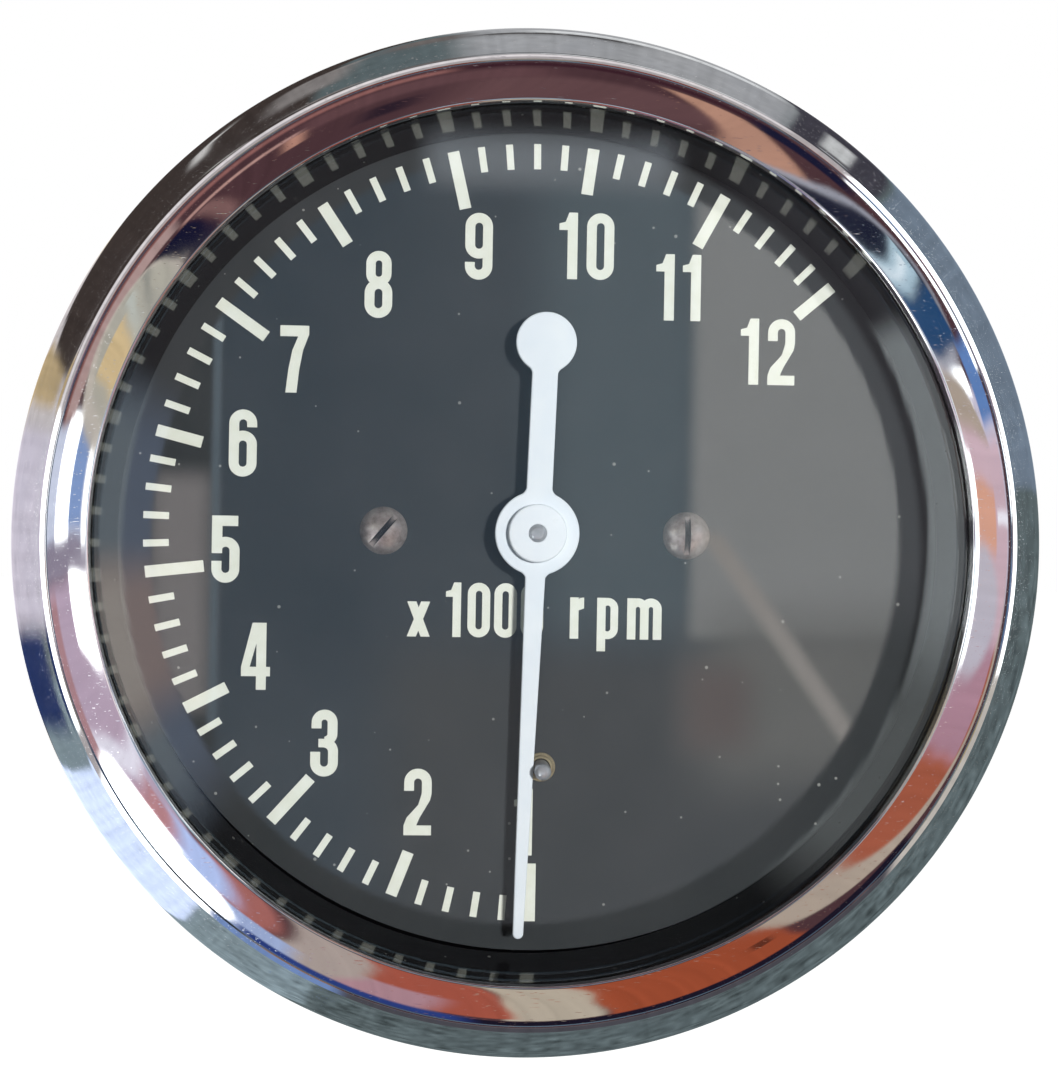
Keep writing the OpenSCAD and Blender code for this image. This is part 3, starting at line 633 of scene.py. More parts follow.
def arc(x: float, y: float, radius: float, start: float, end: float, steps: int) -> np.ndarray:
    """Points of an arc, (x + r cos a, y + r sin a), with a in degrees from start to end."""
    turn = np.radians(np.linspace(start, end, steps + 1))
    return np.column_stack([x + radius * np.cos(turn), y + radius * np.sin(turn)])


def eased(points: Sequence[Sequence[float]], steps: int) -> np.ndarray:
    """Runs a smooth line through points.

    Between two points p1 and p2, with p0 and p3 beside them, the line is the Catmull-Rom cubic
    0.5 (2 p1 + (p2 - p0) t + (2 p0 - 5 p1 + 4 p2 - p3) t^2 + (3 p1 - p0 - 3 p2 + p3) t^3).

    Args:
        points: The points to pass.
        steps: Steps between two points.

    Returns:
        The points of the line.
    """
    fixed = np.asarray(points, float)
    padded = np.vstack([2 * fixed[0] - fixed[1], fixed, 2 * fixed[-1] - fixed[-2]])
    before, start, end, after = padded[:-3], padded[1:-2], padded[2:-1], padded[3:]
    t = np.linspace(0, 1, steps, endpoint=False)[None, :, None]
    before, start, end, after = (part[:, None, :] for part in (before, start, end, after))
    line = 0.5 * (
        2 * start
        + (end - before) * t
        + (2 * before - 5 * start + 4 * end - after) * t**2
        + (3 * start - before - 3 * end + after) * t**3
    )
    return np.vstack([line.reshape(-1, 2), fixed[-1:]])


def rounded(points: Sequence[Sequence[float]], radius: float, steps: int = 4) -> np.ndarray:
    """Rounds every corner of a closed outline.

    Each corner c becomes the curve (1 - t)^2 a + 2 t (1 - t) c + t^2 b, where a and b lie on the
    two sides at the radius from c, or at 0.45 of a shorter side.

    Args:
        points: Corners of the outline.
        radius: How far from the corner the curve starts.
        steps: Steps in each curve.

    Returns:
        The points of the rounded outline.
    """
    corner = np.asarray(points, float)
    to_last = np.roll(corner, 1, axis=0) - corner
    to_next = np.roll(corner, -1, axis=0) - corner
    last_l = np.linalg.norm(to_last, axis=1, keepdims=True)
    next_l = np.linalg.norm(to_next, axis=1, keepdims=True)
    a = corner + to_last / last_l * np.minimum(radius, 0.45 * last_l)
    b = corner + to_next / next_l * np.minimum(radius, 0.45 * next_l)
    t = np.linspace(0, 1, steps + 1)[None, :, None]
    curve = (1 - t) ** 2 * a[:, None] + 2 * t * (1 - t) * corner[:, None] + t**2 * b[:, None]
    return curve.reshape(-1, 2)


def lathe(
    section: np.ndarray,
    centre: tuple[float, float],
    turns: int,
    cut: Callable[[np.ndarray, np.ndarray, np.ndarray], np.ndarray] | None = None,
) -> tuple[np.ndarray, np.ndarray]:
    """Carries a closed section of radius and height once round its axis.

    A point (r, h) at the angle a lands on (cx + r cos a, -h, cz + r sin a). A thread cuts the
    radius down by cut(r, h, a).

    Args:
        section: Points (r, h) in millimetres, in order round the section.
        centre: The axis, x and z.
        turns: Steps round the axis.
        cut: Depth to take off the radius.

    Returns:
        The points in metres and the corners of the faces.
    """
    angle = np.linspace(0, 2 * np.pi, turns, endpoint=False)[:, None]
    radius = np.repeat(section[None, :, 0], turns, axis=0)
    height = np.repeat(section[None, :, 1], turns, axis=0)
    if cut is not None:
        radius = radius - cut(radius, height, angle)
    across, along = centre[0] + radius * np.cos(angle), centre[1] + radius * np.sin(angle)
    points = np.stack([across, -height, along], axis=-1)
    count = len(section)
    i, j = np.meshgrid(np.arange(turns), np.arange(count), indexing="ij")
    i_next, j_next = (i + 1) % turns, (j + 1) % count
    corners = [i * count + j, i * count + j_next, i_next * count + j_next, i_next * count + j]
    return points.reshape(-1, 3) * MM, np.stack(corners, axis=-1).reshape(-1, 4)


@dataclass(frozen=True)
class Thread:
    """A screw thread cut into the outside of a round bar."""

    crest: float
    pitch: float
    start: float
    end: float

    def depth(self, radius: np.ndarray, height: np.ndarray, angle: np.ndarray) -> np.ndarray:
        """Depth of the groove, 0.6 p g with g = 1.25 (1 - |2 f - 1|) - 0.12, kept from 0 to 1.

        Here f is the fraction of h / p - a / 2 pi. The groove runs out over one pitch at both ends,
        and only the bar's outside is cut.

        Args:
            radius: Radius of each point.
            height: Height of each point.
            angle: Angle round the axis.

        Returns:
            The depth at each point.
        """
        part = np.mod(height / self.pitch - angle / (2 * np.pi), 1.0)
        groove = np.clip(1.25 * (1 - np.abs(2 * part - 1)) - 0.12, 0, 1)
        inside = np.minimum(height - self.start, self.end - height) / self.pitch
        return 0.6 * self.pitch * groove * np.clip(inside, 0, 1) * (radius > self.crest - 0.02)


@dataclass
class Housing:
    """Can, bezel, glass and the rings between them."""

    shop: Workshop
    centre: tuple[float, float] = (-0.3, -0.9)
    window_r: float = 36.3
    bezel_r: float = 43.5
    case_r: float = 40.0
    bead_r: float = 40.25
    bead_w: float = 0.6
    bead_step: float = 0.07
    wall: float = 0.8
    glass_r: float = 38.6
    glass_z: float = 50.8
    glass_top: float = 52.6
    glass_edge: float = 0.3
    lip_z: float = 53.0
    lip_round: float = 0.16
    face_lean: tuple[float, float] = (1.5, 34.0)
    bead_lean: tuple[float, float] = (33.0, 42.0)
    skirt_lean: tuple[float, float] = (42.6, 46.5)
    lip_in: float = 0.12
    bead_out: float = 0.1
    roll_z: float = 47.5
    flange_top: float = 49.4
    dial_face: float = 46.0
    ring_r: float = 35.05
    ring_top_r: float = 36.5
    ring_flange_r: float = 39.5

    def leaning(self, start: np.ndarray, width: float, lean: tuple[float, float], steps: int) -> np.ndarray:
        """Draws an arc that falls outwards, from one lean to another.

        Its radius is width / (sin(end) - sin(start)), so the arc is as wide as asked for.

        Args:
            start: Where the arc starts, as radius and height.
            width: How far it reaches outwards.
            lean: How far it tilts outwards at its start and its end, in degrees.
            steps: Steps along the arc.

        Returns:
            The points of the arc.
        """
        low, high = np.radians(lean)
        bend = width / (math.sin(high) - math.sin(low))
        middle = start - bend * np.array([math.sin(low), math.cos(low)])
        return arc(middle[0], middle[1], bend, 90 - lean[0], 90 - lean[1], steps)

    def bezel_section(self) -> np.ndarray:
        """The bezel's section from the lip over the broad face, crease, bead and skirt to the roll."""
        edge = self.lip_round
        crest = self.lip_z + self.wall + 0.1
        lip_r = self.window_r - self.lip_in
        lip = arc(lip_r + edge, crest - edge, edge, 180, 90 - self.face_lean[0], 8)
        crease_r = self.bead_r + self.bead_out - self.bead_w
        face = self.leaning(lip[-1], crease_r - lip[-1][0], self.face_lean, 36)[1:]
        bead_start = face[-1] + np.array([self.bead_step, 0.08])
        bead = self.leaning(bead_start, self.bead_w - self.bead_step, self.bead_lean, 10)
        top = bead[-1] + np.array([0.03, -0.05])
        slope = self.leaning(top, self.bezel_r - 0.75 - top[0], self.skirt_lean, 12)
        turn = slope[-1]
        edge_line = [turn, turn + [0.4, -0.5], turn + [0.65, -1.0], [self.bezel_r, self.roll_z + 1.1]]
        roll = arc(self.bezel_r - 0.6, self.roll_z + 0.6, 0.6, 0, -90, 8)
        hem = arc(self.case_r + 1.3, self.roll_z + 0.4, 0.4, -90, -270, 8)
        inside = [
            [self.bezel_r - self.wall, self.roll_z + self.wall],
            [self.bezel_r - self.wall, self.flange_top - 0.2],
            [self.bezel_r - 1.65, self.flange_top + 0.9],
            [self.glass_r + 0.15, self.glass_top],
            [self.glass_r + 0.05, self.lip_z],
            [lip_r, self.lip_z],
        ]
        return np.vstack([lip, face, bead, slope, eased(edge_line, 6)[1:], roll, hem, inside])

    def bezel(self) -> Object:
        """Makes the chromed bezel."""
        made = self.shop.piece("chromed_bezel", *lathe(self.bezel_section(), self.centre, 360), 30)
        return self.shop.finished(made, CHROME, "bezel_chrome", ["bezel_ring"])

    def glass(self) -> Object:
        """Makes the flat glass with its ground edge."""
        low, high, edge = self.glass_z, self.glass_top, self.glass_edge
        full, flat = self.glass_r, self.glass_r - edge
        under = [[0, low], [flat, low], [full, low + edge]]
        section = np.array(under + [[full, high - edge], [flat, high], [0, high]])
        made = self.shop.piece("flat_glass", *lathe(section, self.centre, 192), 20)
        return self.shop.finished(made, ClearGlass(), "clear_glass", ["front_glass"])

    def seals(self) -> None:
        """Makes the rubber under the lip, which ends in a round edge there, and dresses the one on the
        flange.
        """
        low, high = self.glass_top, self.lip_z
        bulge = arc(self.window_r + 0.17, (low + high) / 2, (high - low) / 2, 90, 270, 10)
        section = np.vstack([bulge, [[self.glass_r, low], [self.glass_r, high]]])
        made = self.shop.piece("glass_rubber", *lathe(section, self.centre, 256), 40)
        self.shop.finished(made, RUBBER, "black_rubber", ["glass_seal"])
        self.shop.dress("flange_seal", RUBBER)

    def cone(self) -> Object:
        """Makes the gloss black cone between the dial and the glass."""
        foot = self.dial_face + 0.15
        top = self.glass_z - 0.8
        corners = [
            [self.ring_r, foot],
            [self.ring_r + 0.8, foot],
            [self.ring_top_r + 0.8, top],
            [self.ring_flange_r, top],
            [self.ring_flange_r, self.glass_z],
            [self.ring_top_r + 0.3, self.glass_z],
            [self.ring_top_r + 0.06, self.glass_z - 0.1],
            [self.ring_top_r - 0.06, top + 0.3],
        ]
        made = self.shop.piece("black_cone", *lathe(rounded(corners, 0.14), self.centre, 320), 25)
        return self.shop.finished(made, GLOSS_ENAMEL, "gloss_black", ["inner_ring"])

    def build(self) -> None:
        """Makes the housing's pieces."""
        self.bezel()
        self.glass()
        self.seals()
        self.cone()
        self.shop.copied("painted_case", "case_shell", (0.3, 3), CASE_ENAMEL, "case_paint")


@dataclass
class Dial:
    """Dial plate with its print, screws and stop pin."""

    shop: Workshop

    def build(self) -> None:
        """Dresses the plate and its print, and makes the screws and the pin."""
        self.shop.dress("dial_plate", DIAL_PAINT)
        self.shop.dress("dial_marks", CREAM_INK)
        self.shop.copied("dial_screw_heads", "dial_screws", (0.07, 2), SCREW_NICKEL, "nickel_screw")
        self.shop.copied("pin_eyelet", "stop_pin_eyelet", (0.1, 3), EYELET_BRASS, "eyelet_brass")
        self.shop.copied("rest_pin", "stop_pin", (0.03, 1), DULLED_STEEL, "bright_steel")


@dataclass
class Pointer:
    """White needle with its boss and arbor."""

    shop: Workshop

    def build(self) -> None:
        """Makes the needle, its boss and its arbor."""
        rides = Body.POINTER
        self.shop.copied("white_needle", "needle", (0.12, 3), NEEDLE_LACQUER, "needle_white", rides)
        self.shop.copied("white_boss", "needle_hub", (0.08, 3), HUB_PLASTIC, "hub_white", rides)
        self.shop.copied("steel_arbor", "needle_shaft", (0.05, 2), DULLED_STEEL, "bright_steel", rides)


@dataclass
class Rear:
    """Studs, threaded spigot, screws and washers on the back."""

    shop: Workshop
    stud_r: float = 3.0
    stud_l: float = 15.0
    shank_r: float = 3.5
    stud_grip: float = 10.0
    stud_x: float = 20.0
    spigot_r: float = 6.0
    spigot_l: float = 12.0
    thread_pitch: float = 1.0
    seat_r: float = 6.5
    spigot_head_r: float = 7.5
    boss_top: float = 8.8
    ferrule_r: float = 4.2
    ferrule_depth: float = 7.0
    bush_z: float = -3.0
    bush_r: float = 4.6
    seal_r: float = 5.2

    def studs(self) -> Object:
        """Makes the two studs with their M6 thread."""
        low = -self.stud_l
        wall = np.column_stack([np.full(340, self.stud_r), np.linspace(low + 0.7, -0.4, 340)])
        tip = [[0, low], [self.stud_r - 0.7, low], [self.stud_r - 0.55, low + 0.08]]
        shank = [[self.stud_r, 0], [self.shank_r, 0], [self.shank_r, self.stud_grip], [0, self.stud_grip]]
        section = np.vstack([tip, wall, shank])
        thread = Thread(self.stud_r, self.thread_pitch, low + 0.5, -1.2)
        left, right = (lathe(section, (side * self.stud_x, 0.0), 48, thread.depth) for side in (-1, 1))
        points = np.vstack([left[0], right[0]])
        faces = np.vstack([left[1], right[1] + len(left[0])])
        made = self.shop.piece("threaded_studs", points, faces, 50)
        return self.shop.finished(made, YELLOW_ZINC, "zinc_studs", ["mounting_studs"])

    def spigot(self) -> Object:
        """Makes the cable's spigot with its M12 by 1 thread."""
        low = -self.spigot_l
        wall = np.column_stack([np.full(240, self.spigot_r), np.linspace(low + 0.45, -0.05, 240)])
        rest = [
            [self.spigot_r, 0],
            [self.seat_r, 0],
            [self.seat_r, self.boss_top],
            [self.spigot_head_r, self.boss_top],
            [self.spigot_head_r, self.boss_top + 2],
            [self.seal_r, self.boss_top + 2],
            [self.seal_r, self.boss_top],
            [self.bush_r, self.boss_top],
            [self.bush_r, self.bush_z],
            [self.ferrule_r + 0.2, self.bush_z],
            [self.ferrule_r + 0.2, self.ferrule_depth - self.spigot_l],
            [self.ferrule_r, self.ferrule_depth - self.spigot_l],
            [self.ferrule_r, low + 0.3],
        ]
        section = np.vstack([[[self.ferrule_r + 0.3, low], [self.spigot_r - 0.5, low]], wall, rest])
        thread = Thread(self.spigot_r, self.thread_pitch, low + 0.3, -1.5)
        made = self.shop.piece("threaded_spigot", *lathe(section, (0.0, 0.0), 96, thread.depth), 50)
        return self.shop.finished(made, SPIGOT_NICKEL, "nickel_spigot", ["cable_spigot"])

    def build(self) -> None:
        """Makes the rear's pieces."""
        self.studs()
        self.spigot()
        self.shop.copied("rear_screw_heads", "rear_screws", (0.12, 2), CLEAR_ZINC, "zinc_screws")
        self.shop.copied("rear_screw_washers", "rear_washers", (0.15, 2), CLEAR_ZINC, "zinc_screws")
        self.shop.copied("stud_base_washers", "stud_washers", (0.15, 2), YELLOW_ZINC, "zinc_studs")
        self.shop.copied("spigot_rubber", "spigot_seal", (0.25, 3), RUBBER, "black_rubber")


@dataclass
class Movement:
    """The magnet, cup, spring, bridge and frame inside the case, which keep their CAD shapes."""

    shop: Workshop

    def build(self) -> None:
        """Dresses every node of the movement."""
        finishes = {
            CUP_ALUMINIUM: ["drag_cup"],
            TURNED_BRASS: ["cup_hub", "hairspring_collet", "hairspring_stud", "upper_bridge", "upper_bush"],
            BLUED_SPRING: ["hairspring"],
            PLATED_STEEL: ["zero_arm", "bridge_screws", "dial_posts", "spindle_clip"],
            SINTERED_BRONZE: ["pivot_bush", "thrust_washer", "spindle_bush"],
            BRIGHT_STEEL: ["drive_spindle"],
            CAST_MAGNET: ["magnet"],
            DIE_CAST: ["magnet_hub", "movement_frame"],
            SOFT_IRON: ["field_ring"],
            OILED_FELT: ["oil_seal"],
            FIBRE_GASKET: ["frame_gasket"],
        }
        for finish, nodes in finishes.items():
            for node in nodes:
                self.shop.dress(node, finish)


# Degrees from the axis: where the flat glass ends to mirror, over how wide an edge, and what level
# chrome would mirror
GLASS_REACH = 15.5
GLASS_SOFT = 0.6
LEVEL_CHROME = 14.6


def further(around: np.ndarray) -> np.ndarray:
    """How much further from the axis the rim looks at an angle a, because the camera is left of it.

    Args:
        around: Angle a round the axis, in degrees.

    Returns:
        3 cos (a - 97) degrees.
    """
    return 3.0 * np.cos(np.radians(around - 97.0))


class Outline(Enum):
    """The outline of a card of the studio."""

    PANEL = "panel"
    OVAL = "oval"
    SHEET = "sheet"
    RIM = "rim"
    BAND = "band"


@dataclass(frozen=True)
class Card:
    """A soft-edged card of the studio that only the mirrors see.

    A panel or an oval is given in degrees: first how far it reaches clockwise from 12 o'clock, then
    how far from the axis that runs from the dial to the camera. A rim is a panel that counts from
    what level chrome mirrors, so 2 t is where chrome that leans outwards by t looks, and a band is
    one that the glass mirrors. A sheet stands square in front of the glass and is given in slopes:
    to the right and up. A lean shifts a card to the right as it goes down or inwards, and a fade is
    how softly its ends fade where that differs from its other edges. The colour is as it looks in
    the chrome.
    """

    colour: str
    wide: tuple[float, float]
    high: tuple[float, float]
    soft: float
    level: float = 1.0
    lean: float = 0.0
    fade: float = 0.0
    outline: Outline = Outline.PANEL

    def cover(self, around: np.ndarray, away: np.ndarray) -> np.ndarray:
        """How much of the card shows: smooth steps 3 t^2 - 2 t^3 of the distance to its edges.

        Sheets and bands stay where the glass looks, and the others outside it. Slopes end at 80
        degrees, far past what the glass mirrors.

        Args:
            around: Angle round the axis.
            away: Angle from the axis.

        Returns:
            From 0 to 1 at each point.
        """
        across, up = around, away
        shift = further(around)
        past = (away - GLASS_REACH - shift) / GLASS_SOFT * self.soft
        if self.outline in (Outline.SHEET, Outline.BAND):
            past = -past
        if self.outline in (Outline.RIM, Outline.BAND):
            up = away - LEVEL_CHROME - shift
        if self.outline is Outline.SHEET:
            slope = np.where(away < 80, np.tan(np.radians(np.minimum(away, 80))), 99.0)
            across, up = slope * np.sin(np.radians(around)), slope * np.cos(np.radians(around))
        middle, half = sum(self.wide) / 2, (self.wide[1] - self.wide[0]) / 2
        from_middle = across - middle + self.lean * (up - sum(self.high) / 2)
        if self.outline is not Outline.SHEET:
            from_middle = np.mod(from_middle + 180, 360) - 180
        if self.outline is Outline.OVAL:
            level_middle, level_half = sum(self.high) / 2, (self.high[1] - self.high[0]) / 2
            reach = np.hypot(from_middle / half, (up - level_middle) / level_half)
            distances = [past, (1 - reach) * min(half, level_half)]
        else:
            distances = [past, up - self.high[0], self.high[1] - up]
            if half < 180:
                distances.append((half - np.abs(from_middle)) * self.soft / (self.fade or self.soft))
        cover = np.ones_like(around)
        for distance in distances:
            step = np.clip(distance / self.soft + 0.5, 0, 1)
            cover = cover * (3 * step**2 - 2 * step**3)
        return cover


oval, sheet, rim, band = (
    partial(Card, outline=outline) for outline in (Outline.OVAL, Outline.SHEET, Outline.RIM, Outline.BAND)
)
ROUND = (0, 360)
# How far bands reach outwards: from the dial's edge, and from the bright crescents' foot in the gap
GAP, STEP = (-1.95, 9), (-1.0, 9)
# What the bezel's ridge and its skirt mirror, both counted from what level chrome does
RIDGE, SKIRT = (66, 84.4), (84.6, 190)
# What stands round the camera, where later cards hide earlier ones
CARDS = (
    # The flat glass mirrors these
    sheet("5c7084", (-9, 9), (-9, 9), 1),
    sheet("3c5a74", (-0.3, -0.03), (-0.1, 0.3), 0.08),
    sheet("74767c", (-0.03, 0.5), (-0.5, -0.07), 0.06),
    sheet("90a8b8", (0.06, 0.16), (-0.06, 0.24), 0.05),
    sheet("ffffff", (0.152, 0.6), (-0.063, 0.216), 0.012, level=1.03),
    sheet("c8c4c0", (0.16, 0.6), (-0.15, -0.05), 0.06),
    sheet("fff4ec", (0.203, 0.217), (-0.13, 0.0), 0.01, level=1.3, lean=0.714),
    sheet("b8a09c", (0.15, 0.19), (-0.13, -0.08), 0.03),
    sheet("20262e", (-0.6, -0.131), (-0.5, 0.5), 0.008),
    sheet("ece0e0", (-0.172, -0.136), (-0.11, 0.03), 0.02),
    sheet("9cb4c8", (-0.1355, -0.1305), (-0.12, 0.13), 0.004),
    # It mirrors these over the gap between the dial's edge and the bezel's lip
    band("4c484c", ROUND, GAP, 0.2),
    band("121113", (98, 236), GAP, 0.2, fade=20),
    band("8fa1c6", (222, 292), GAP, 0.2, fade=16),
    band("cfdfee", (222, 292), STEP, 0.12, fade=16),
    band("f5d3ce", (237, 262), GAP, 0.2, fade=12),
    band("f4e8e0", (237, 262), STEP, 0.12, level=1.7, fade=12),
    band("6e6c74", (40, 98), GAP, 0.12, fade=15),
    band("f2faff", (65, 118), STEP, 0.12, level=1.25, fade=5),
    band("bcc2c4", (103, 132), STEP, 0.12, fade=14),
    # And this haze over the top of the dial's edge
    sheet("dce4f0", (-0.01, 0.1375), (0.208, 0.236), 0.024),
    # The bezel's broad face mirrors these, from its lip outwards
    Card("4a3236", ROUND, (0, 120), 4),
    Card("604446", (-6, 28), (16, 52), 12),
    Card("5e4144", (-28, 4), (50, 66), 8),
    Card("2a1e28", (-18, -11), (28, 42), 6),
    Card("8a5c58", (284, 352), (69, 75), 5),
    Card("3a2028", (-6, 34), (70, 76), 4),
    Card("b08471", (27, 39), (10, 66), 3, lean=0.3),
    Card("1a1a30", (30, 44), (63, 76), 4),
    oval("9a9aa4", (39, 71), (-30, 69.5), 2.5),
    oval("1e2030", (42, 68), (-26, 66), 2.5),
    Card("a9c0cc", (53.5, 59), (10, 62), 1.5, lean=0.12),
    Card("dfe8ee", (55.5, 57), (10, 56), 1.2, lean=0.12),
    Card("27466c", (59.5, 67), (10, 63), 2, lean=0.1),
    Card("c4bccc", (70, 110), (10, 78), 2),
    Card("5f7fb4", (65, 75), (58, 79), 2.5),
    Card("ffffff", (70, 73), (10, 54), 1.5, level=2.2, lean=0.08),
    Card("ffffff", (74.5, 78), (10, 50), 1.5, level=2.2, lean=0.08),
    Card("8a90a8", (72.5, 75), (10, 44), 1.5, lean=0.08),
    oval("a8988a", (70, 143), (-19, 79), 1.5),
    oval("9c5540", (82, 131), (-15.5, 75.5), 2),
    Card("a9808e", (99, 115), (10, 72), 3),
    Card("c6a9b2", (77, 101), (10, 76), 3),
    oval("b9b2bc", (90, 106), (-14, 64), 2.5),
    Card("d29c86", (83, 90.5), (24, 55), 2.5),
    Card("ece8f0", (85.5, 87), (58, 78), 1),
    Card("ffffff", (80.5, 104), (0, 26.5), 1.5, level=2.6),
    Card("96482f", (142.5, 167), (10, 73), 1.5),
    Card("5a2c20", (144.5, 147), (41, 50), 1),
    Card("b0a392", (166.5, 178), (10, 71), 1.5, lean=-0.04),
    Card("9e5040", (178, 202), (10, 68), 2),
    Card("a88088", (187, 202), (44, 72), 5, lean=-0.1),
    Card("a5968f", (196, 207), (10, 76), 3, lean=-0.16),
    Card("a3645e", (208, 221), (10, 56), 4, lean=-0.1),
    Card("9aa8cc", (206, 220), (52, 80), 4),
    Card("b29cae", (222, 264), (0, 78), 4),
    Card("a87f84", (238, 262), (66, 78), 4),
    Card("ded8e4", (236, 241), (10, 66), 3, lean=-0.12),
    Card("b58084", (226, 234), (24, 44), 5),
    oval("ffffff", (215.5, 240.5), (43, 92), 4, level=4),
    Card("a9b8e0", (216, 226), (20, 50), 6, level=1.1),
    Card("ffffff", (250, 264), (0, 42), 2, level=2.5, lean=-0.2),
    Card("8a8090", (264, 269), (0, 78), 1.5),
    Card("c8ccde", (269, 284), (0, 78), 1.5),
    Card("ffffff", (269, 285), (41, 63), 1.5, level=2.5),
    Card("7f95c0", (270, 284), (24, 42), 2),
    Card("ffffff", (268, 284), (0, 22), 2, level=2.0),
    Card("a88c88", (284, 312), (58, 72), 3),
    oval("b9afa4", (281, 313), (-34, 63), 1.5),
    oval("a9a498", (286, 311), (-34, 60), 1.5),
    Card("cbb288", (290.5, 299), (0, 46), 1.5),
    Card("b8bab2", (300, 302), (0, 54), 1),
    Card("8e8c84", (304, 305.5), (0, 54), 1),
    Card("15152c", (312, 319), (0, 53), 1.5, lean=0.2),
    Card("b08880", (313, 332), (54, 58), 3),
    Card("b08070", (330, 333), (41, 54), 2),
    Card("7a5a58", (320, 323), (0, 52), 2, lean=0.2),
    Card("1a1624", (126, 206), (72, 90), 2.5),
    Card("2a3c78", (184, 214), (70, 80), 5),
    # The ridge mirrors these
    rim("a8a0a0", ROUND, RIDGE, 1.5),
    rim("dcd4d4", (-76, 34), (73, 80), 2.5),
    rim("ffffff", (43, 69), (60, 71), 1.5, level=2.2),
    rim("ffffff", (43, 105), (69, 83), 1.5, level=2.5),
    rim("b8b0a8", (105, 130), RIDGE, 2),
    rim("48464c", (130, 206), RIDGE, 3),
    rim("6f86b4", (200, 218), RIDGE, 3),
    rim("ffffff", (218, 239), RIDGE, 2, level=2.5),
    rim("ffffff", (246, 285), (68, 84), 1.5, level=2.5),
    # The skirt mirrors these
    rim("566062", ROUND, SKIRT, 0.5),
    rim("98989a", (-6, 33), SKIRT, 1, fade=6),
    rim("4c4a4a", (-4, 14), (92, 97), 2, fade=6),
    rim("d8d8d8", (2, 30), (99, 104), 2, fade=6),
    rim("3c3a42", (33, 46), SKIRT, 1),
    rim("b8b8b8", (37, 41), (86, 92), 1),
    rim("6a7684", (47, 84), SKIRT, 1),
    rim("7c8a90", (203, 252), SKIRT, 1),
    rim("c8d4f0", (220, 241), SKIRT, 1, level=1.2),
    rim("4a4440", (240, 247), SKIRT, 1, lean=0.4),
    rim("26335c", (246, 258), (86.5, 190), 1, fade=4),
    rim("c4bcc8", (258, 284), SKIRT, 1, fade=4),
    rim("c0b8b8", (282, 311), SKIRT, 1, fade=3),
    rim("b09a76", (285, 292), (86, 190), 1, fade=2.5),
    rim("bcae94", (302, 308), (88, 190), 1, fade=2.5, lean=0.3),
    rim("3a322f", (310, 356), SKIRT, 1, fade=2.5, lean=-0.4),
    rim("7c7674", (332, 342), (88, 97), 2, fade=5, lean=-0.6),
    rim("c8c4c0", (321.5, 324), (90, 99), 1.5, fade=2, lean=-0.6),
    rim("645e5c", (346, 355), (92, 104), 2, fade=5),
)


